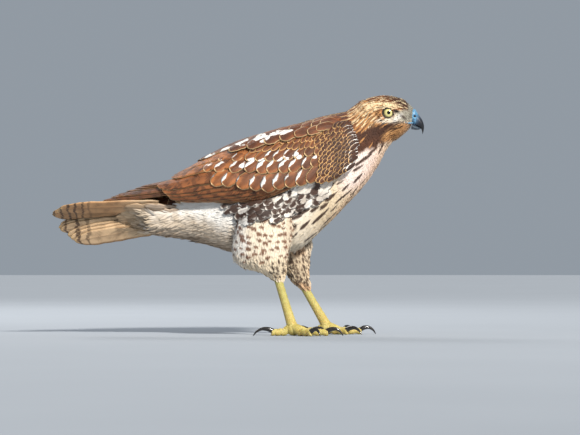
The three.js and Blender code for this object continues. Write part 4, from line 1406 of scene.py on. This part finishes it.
def rectrices():
    made = []
    for side, tips in tailFeathers.items():
        for i, (reach, across) in enumerate(tips):
            lift = 3.6 - i * tail["layer"] - (tail["layer"] / 2 if side < 0 else 0)
            ring, vane = vanePoints(tailPoint, one, one, (8, side * (3 + i * 3.2)), (reach, across),
                                    tail["width"], (lift, lift, lift), rectrixLook, 18)
            # both tones are raised as painted sunlight on the downward-facing tail; the darker tone of the
            # half with side 1 is partly its own colour and partly painted shade cast by the other half
            base = (paint(198, 150, 103) if side > 0 else paint(216, 182, 142)) * dice.normal(1, 0.06)
            ground = np.tile(np.append(base, 1.0), (*ring.shape[:2], 1))
            e, u = vane[..., 0], vane[..., 1] / vane[..., 1].max()
            ground[..., :3] = over(ground[..., :3], paint(190, 168, 138), (1 - ease(0.1, 0.5, u)) * 0.8)
            # painted warm rim light along the tail's lower edge
            if side < 0 and i == 5:
                ground[..., :3] = over(ground[..., :3], paint(196, 132, 66), ease(-0.7, -1.0, e) * 0.9)
            ground[..., :3] = over(ground[..., :3], paint(222, 184, 130), ease(0.955, 0.985, u) * 0.8)
            made.append((ring, vane, ground, (0.5, 0.62 if side > 0 else 0.4, 0.1)))
    return made


vanePiece("tailVanes", rectrices(), tailMaterial, "tail_feathers", ("tail",))
tailCoverRows = {  # feathers in the row, reach of their tips, height over the sheet, gap across, colour
    "under": [(8, 66, -4.5, 6.6, paint(180, 152, 120)), (8, 57, -6, 6.8, paint(190, 164, 132)),
              (8, 48, -8, 7, paint(204, 182, 154)), (8, 38, -10.5, 7, paint(224, 208, 188)),
              (8, 28, -13, 6.8, tone["white"]), (5, 14, -17, 8.5, tone["white"])],
    "upper": [(5, 54, 7, 9, tone["brown"]), (6, 42, 9, 9, tone["brown"]), (6, 30, 11.5, 9, tone["brown"]),
              (5, 18, 13.5, 8, tone["brown"])],
}


def tailCoverts(rows, edge, centre):
    made = []
    for count, reach, lift, spread, base in rows:
        for i in range(count):
            aside = (i - (count - 1) / 2) * spread + dice.normal(0, 1)
            look = dict(roll=0.4, thick=0.4, camber=math.copysign(1.0, lift), point=1.5, ragged=0.13)
            ring, vane = vanePoints(tailPoint, one, one, (reach - 44, aside * 0.8),
                                    (reach + dice.normal(0, 4), aside + dice.normal(0, 1.5)), 13,
                                    (lift * 0.9, lift, lift * 0.8), look, 13)
            tint = base + (paint(170, 140, 108) - base) * float(ease(6, 20, aside)) * (lift < 0) * 0.8
            made.append((ring, vane, np.append(tint * dice.normal(1, 0.04), 1.0), (edge, 0, centre)))
    return made


vanePiece("underTailCoverts", tailCoverts(tailCoverRows["under"], 0.2, 0.0), tailMaterial, "plumage")
vanePiece("upperTailCoverts", tailCoverts(tailCoverRows["upper"], 0.8, 0.3), wingMaterial, "upper_plumage")
print("wings and tail done")


# Bill, cere and mandible, in rows like the body's.
cereRows = [(148.5, 316.5, 147, 297.5, 10.2, 2.2), (153.7, 316, 150, 296.8, 9.8, 2.2),
            (155.5, 313.4, 151.6, 295.4, 9.2, 2.2), (157, 311, 153, 294.3, 8.4, 2.2),
            (157.8, 310.6, 153.8, 294, 8.0, 2.1)]
billRows = [(157.4, 310.6, 153.4, 294, 8.2, 2), (161.4, 305.6, 158, 291.8, 6.6, 2),
            (164.9, 299.7, 161.3, 290, 4.9, 2), (166.7, 293.3, 163, 287.8, 3.1, 2),
            (166.5, 287.5, 164, 285, 1.6, 2), (165, 281.6, 164.6, 281.2, 0.35, 2)]
mandibleRows = [(149.9, 295.6, 148.7, 288, 8, 2.2), (154, 293.6, 154.4, 287, 6.2, 2),
                (159, 291.4, 159.4, 287.4, 3.8, 2), (162, 289.8, 162, 288.6, 0.8, 2)]


def billRings(rows, rings, sides):
    return sampled(lambda t, a: sectionPoint(rows, t, a, 0.0), 0, len(rows) - 1, rings, sides)


hornFade = dict(x=158, z=299, alongX=9.0, alongZ=22.0)  # from the grey blue root to the black tip
billShader = Shader("bill horn", 0.3, Coat_Weight=0.35, Coat_Roughness=0.2)
billX, _, billZ = billShader.parts(billShader.place())
toTip = ((billX * 1000.0 - (hornFade["x"] + shift)) / hornFade["alongX"]
         + (hornFade["z"] - billZ * 1000.0) / hornFade["alongZ"])
hornNoise = billShader.noise(300, 4, 0.6)
hornStops = [(0.0, paint(70, 98, 122)), (0.22, paint(46, 56, 72)), (0.5, paint(28, 30, 38)),
             (1.0, paint(13, 13, 16))]
billShader.colour(billShader.node("ShaderNodeValToRGB", {"stops": hornStops},
                                  {0: toTip * 0.8 + 0.2 + (hornNoise - 0.5) * 0.12}))
billShader.rough(hornNoise * 0.2 + 0.22)
billShader.bump(hornNoise, 0.12, 0.0003)
mandibleMaterial = speckled("lower bill horn", 0.35, (300, 4, 0.6), (0.3, 0.7),
                            (paint(36, 42, 52), paint(66, 80, 92)), (0.12, 0.0003),
                            Coat_Weight=0.3, Coat_Roughness=0.25)
loftPiece("billUpper", billRings(billRows, 40, 48), billShader.material, "horn", "bill_upper")
loftPiece("billLower", billRings(mandibleRows, 24, 36), mandibleMaterial, "horn", "bill_lower")

cereShader = Shader("cere skin", 0.42, Coat_Weight=0.15, Subsurface_Weight=0.1)
cereNoise = cereShader.noise(500, 4, 0.55)
cereShader.colour(cereShader.mix(cereNoise.step(0.3, 0.75), paint(70, 122, 160), paint(108, 158, 188)))
cereShader.bump(cereNoise + cereShader.cells(900) * 0.5, 0.3, 0.0003)
cere = dict(rings=30, sides=56, swell=0.5, swellRing=14, swellRings=8)
pit = dict(x=153.6, y=9.6, z=305.8, halfLength=2.0, halfHeight=1.6, depth=2.4)  # of each nostril
cereRings = billRings(cereRows, cere["rings"], cere["sides"])
swell = np.exp(-((np.arange(cere["rings"]) - cere["swellRing"]) / cere["swellRings"]) ** 2)[:, None, None]
cereRings = cereRings + unit(cereRings - cereRings.mean(1, keepdims=True)) * cere["swell"] * swell
for sign in (-1, 1):
    off = cereRings - (pit["x"], sign * pit["y"], pit["z"])
    deep = 1 - ease(0.75, 1.15, np.hypot(off[..., 0] / pit["halfLength"], off[..., 2] / pit["halfHeight"]))
    cereRings[..., 1] -= sign * deep * (sign * cereRings[..., 1] > 3) * pit["depth"]
loftPiece("cereSkin", cereRings, cereShader.material, "cere_skin", "cere")

nostril = dict(x=153.4, y=8.7, z=306, radii=(1.9, 1.0, 1.4))
nostrilShader = Shader("nostril", 0.5)
# the nostril's near-black colour is painted shade, for the dark inside of the opening
nostrilShader.colour(nostrilShader.mix(nostrilShader.noise(900), paint(12, 12, 14), paint(26, 28, 32)))
gape = dict(rings=40, sides=16, thin=0.35, thick=0.75, squash=0.9)  # the soft edge of the mouth
for side, sign in sideSign.items():
    nostrilRings = ball(nostril["radii"], 16, 28, 0.1) + (nostril["x"], sign * nostril["y"], nostril["z"])
    loftPiece("nostril" + side.capitalize(), facingOut(nostrilRings), nostrilShader.material, "horn")
    middle = alongRows(gapeLine, np.linspace(0, len(gapeLine) - 1, gape["rings"])) * (1, sign, 1)
    thick = gape["thin"] + gape["thick"] * np.sin(np.linspace(0.2, math.pi * 0.75, gape["rings"]))
    angle = roundAngles(gape["sides"])
    ring = np.stack([0 * angle, np.cos(angle), np.sin(angle) * gape["squash"]], -1)
    gapeRings = facingOut(middle[:, None] + ring[None] * thick[:, None, None])
    loftPiece("gape" + side.capitalize(), gapeRings, cereShader.material, "cere_skin")


# Eyes: a clear dome over a pale iris, with dark lids round it.
eyeShader = Shader("eye", 0.06, Coat_Weight=0.6, Coat_Roughness=0.02, IOR=1.4)
eyeX, _, eyeZ = eyeShader.parts(eyeShader.place())
irisX = eye["x"] + shift + 0.9  # the iris looks a little forward
fromAxis = ((eyeX * 1000.0 - irisX) ** 2.0 + (eyeZ * 1000.0 - eye["z"]) ** 2.0) ** 0.5
streaks = eyeShader.noise(1400, 3, 0.6)
iris = eyeShader.mix(streaks.step(0.3, 0.75), paint(206, 196, 122), paint(232, 222, 160))
iris = eyeShader.mix(fromAxis.step(eye["iris"] - 2.2, eye["iris"] - 0.2) * 0.75, iris, paint(128, 116, 70))
iris = eyeShader.mix(fromAxis.step(eye["pupil"] + 0.35, eye["pupil"]), iris, paint(8, 7, 7))
eyeShader.colour(eyeShader.mix(fromAxis.step(eye["iris"], eye["iris"] + 0.5), iris, paint(26, 20, 18)))
lidMaterial = speckled("lid skin", 0.55, (700, 4, 0.6), (0.3, 0.7), (paint(24, 19, 17), paint(52, 44, 38)),
                       (0.5, 0.0004))
lids = dict(around=96, tube=20, halfLength=7.7, halfHeight=7.2, out=1.25, up=1.5, proud=0.7,
            corner=0.34, cornerTurn=0.35, cornerWidth=0.32)


def lidPoints(sign):  # a soft ring, longer than high, drawn out to a dark corner in front
    around = roundAngles(lids["around"])[:, None]
    tube = roundAngles(lids["tube"])[None]
    fromCorner = np.angle(np.exp(1j * (around - lids["cornerTurn"])))
    corner = 1 + lids["corner"] * np.exp(-(fromCorner / lids["cornerWidth"]) ** 2)
    ringX = lids["halfLength"] * np.cos(around) * corner
    ringZ = lids["halfHeight"] * np.sin(around) * (1 - 0.08 * (np.sin(around) > 0))
    tubeOut = (lids["out"] + 0.25 * np.sin(around)) * np.cos(tube)
    depth = np.sqrt(np.maximum(eye["radius"] ** 2 - ringX**2 - ringZ**2, 4)) + lids["proud"]
    return np.stack(np.broadcast_arrays(eye["x"] + ringX + tubeOut * np.cos(around),
                                        sign * (eye["y"] + depth + lids["up"] * np.sin(tube)),
                                        eye["z"] + ringZ + tubeOut * np.sin(around)), -1)


for side, sign in sideSign.items():
    globe = facingOut(ball(eye["radius"], 40, 64, 0.03) + (eye["x"], sign * eye["y"], eye["z"]))
    loftPiece("eye" + side.capitalize(), globe, eyeShader.material, "eye", f"eye_{side}")
    lidFaces = vaneFaces(lids["around"] + 1, lids["tube"])[0] % (lids["around"] * lids["tube"])
    finished(meshPiece("lids" + side.capitalize(), lidPoints(sign),
                       [lidFaces if sign > 0 else lidFaces[:, ::-1]], lidMaterial), "upper_plumage")
print("head details done")


# Legs and feet: bare scaled skin, with pads under the toes and black claws.
legs = {"right": dict(heel=(-43, 34, 96), ankle=(-18, 38, 13)),
        "left": dict(heel=(-10, 34, 82), ankle=(30, 38, 13))}
shank = dict(stations=[(-0.06, 6.4), (0, 6.4), (0.2, 5.6), (0.55, 5.8), (0.85, 6.5), (1.0, 7.4),
                       (1.06, 7.0)],  # share of the way down, radius
             rings=90, sides=36, length=86, plate=4.2, plateDepth=0.7)
palm = dict(forward=2, height=9, radii=(11.5, 9.5, 8.6))
toes = {"middle": (6, 50, 22), "inner": (-34, 36, 25), "outer": (48, 40, 19), "hind": (172, 29, 27)}
toeStations = [(0.0, 11, 6.4), (0.12, 10.2, 6.2), (0.26, 8.0, 5.6), (0.42, 4.9, 4.9), (0.56, 5.8, 4.5),
               (0.7, 4.8, 4.8), (0.84, 5.3, 4.3), (0.96, 4.4, 4.4), (1.0, 4.4, 3.6)]  # share, height, radius
clawStations = [(-0.14, 6.2, 3.2), (0.0, 7.6, 3.4), (0.2, 9.4, 3.1), (0.5, 9.6, 2.3), (0.76, 6.2, 1.5),
                (0.92, 1.2, 0.6), (0.945, 0.35, 0.15)]
scuteGap = 3.2
floorGap = 0.02

legShader = Shader("leg skin", 0.5, Coat_Weight=0.1, Subsurface_Weight=0.08)
legZ = legShader.parts(legShader.place())[2]
legNoise = legShader.noise(120, 4, 0.6)
scales = legShader.cells(520, "DISTANCE_TO_EDGE")
legBase = legShader.mix(legNoise.step(0.3, 0.75), paint(194, 172, 86), paint(214, 196, 120))
greener = legShader.mix(0.5, legBase, paint(176, 176, 100))
legBase = legShader.mix((legZ * 1000.0).step(60, 20), greener, legBase)
legShader.colour(legShader.mix(scales.step(0.12, 0.02) * 0.5, legBase, paint(126, 104, 54)))
legShader.bump(scales.step(0.0, 0.2) + legNoise * 0.3, 0.5, 0.0006)
clawMaterial = speckled("claw horn", 0.22, (600, 3, 0.5), (0.3, 0.8), (paint(20, 18, 18), paint(48, 42, 38)),
                        (0.1, 0.0002), Coat_Weight=0.4)


def plateRise(run, gap):  # overlapping plates, each rising to its lower edge
    return ((run / gap) % 1) ** 0.6 - 0.5


def limbRings(stations, rings, sides, scutes=0.0):
    line = alongRows(stations, np.linspace(0, len(stations) - 1, rings))
    tangent = unit(np.gradient(line[:, :3], axis=0))
    across = np.cross((0.0, 0.0, 1.0), tangent)
    across[np.linalg.norm(across, axis=1) < 0.3] = (0, 1, 0)
    across = unit(across)
    up = unit(np.cross(tangent, across))
    up *= np.sign(up[:, 2:3] + 1e-6)
    run = np.concatenate([[0], np.cumsum(np.linalg.norm(np.diff(line[:, :3], axis=0), axis=1))])
    angle = roundAngles(sides)
    ridge = scutes * plateRise(run, scuteGap)[:, None] * ease(0.1, 0.8, np.sin(angle))[None]
    radius = line[:, 3:4] + ridge
    made = (line[:, None, :3] + across[:, None] * (radius * np.cos(angle))[..., None]
            + up[:, None] * (radius * np.sin(angle))[..., None])
    return facingOut(made)


def toeRings(side, turn, stations, *detail):  # stations: reach from the ankle, height, radius
    x, y, _ = legs[side]["ankle"]
    forward, out = math.cos(math.radians(turn)), math.sin(math.radians(turn))
    line = [(x + reach * forward, sideSign[side] * (y + reach * out), z, r) for reach, z, r in stations]
    return overFloor(limbRings(line, *detail))


def overFloor(rings):
    rings[..., 2] = np.maximum(rings[..., 2], floorGap)
    return rings


for side, sign in sideSign.items():
    heel, ankle = (np.array(legs[side][key], float) for key in ("heel", "ankle"))
    shankLine = [(*((heel + (ankle - heel) * s) * (1, sign, 1)), r) for s, r in shank["stations"]]
    shankRings = limbRings(shankLine, shank["rings"], shank["sides"])
    outward = unit(shankRings - shankRings.mean(1, keepdims=True))
    plates = plateRise(np.arange(shank["rings"]) / shank["rings"] * shank["length"], shank["plate"])
    rise = ease(0.2, 0.9, outward[..., 0]) * plates[:, None] * shank["plateDepth"]
    loftPiece("tarsus" + side.capitalize(), shankRings + outward * rise[..., None], legShader.material,
              "leg_skin", f"tarsus_{side}")
    parts = [toeRings(side, turn, [(length * s, z, r) for s, z, r in toeStations], 96, 32, 0.9)
             for turn, length, clawLength in toes.values()]
    parts.append(overFloor(ellipsoid((ankle[0] + palm["forward"], sign * ankle[1], palm["height"]),
                                     palm["radii"], 0.0, 30, 40)))
    finished(meshPiece("foot" + side.capitalize(), *joined(parts), legShader.material),
             "leg_skin", f"foot_{side}")
    for toeName, (turn, length, clawLength) in toes.items():
        rings = toeRings(side, turn, [(length + clawLength * s, z, r) for s, z, r in clawStations], 48, 24)
        loftPiece("claw" + side.capitalize() + toeName.capitalize(), rings, clawMaterial,
                  "horn", f"claw_{side}_{toeName}")
print("legs and feet done")

print("triangles", sum(len(p.data.polygons) * 2 for p in pieces))
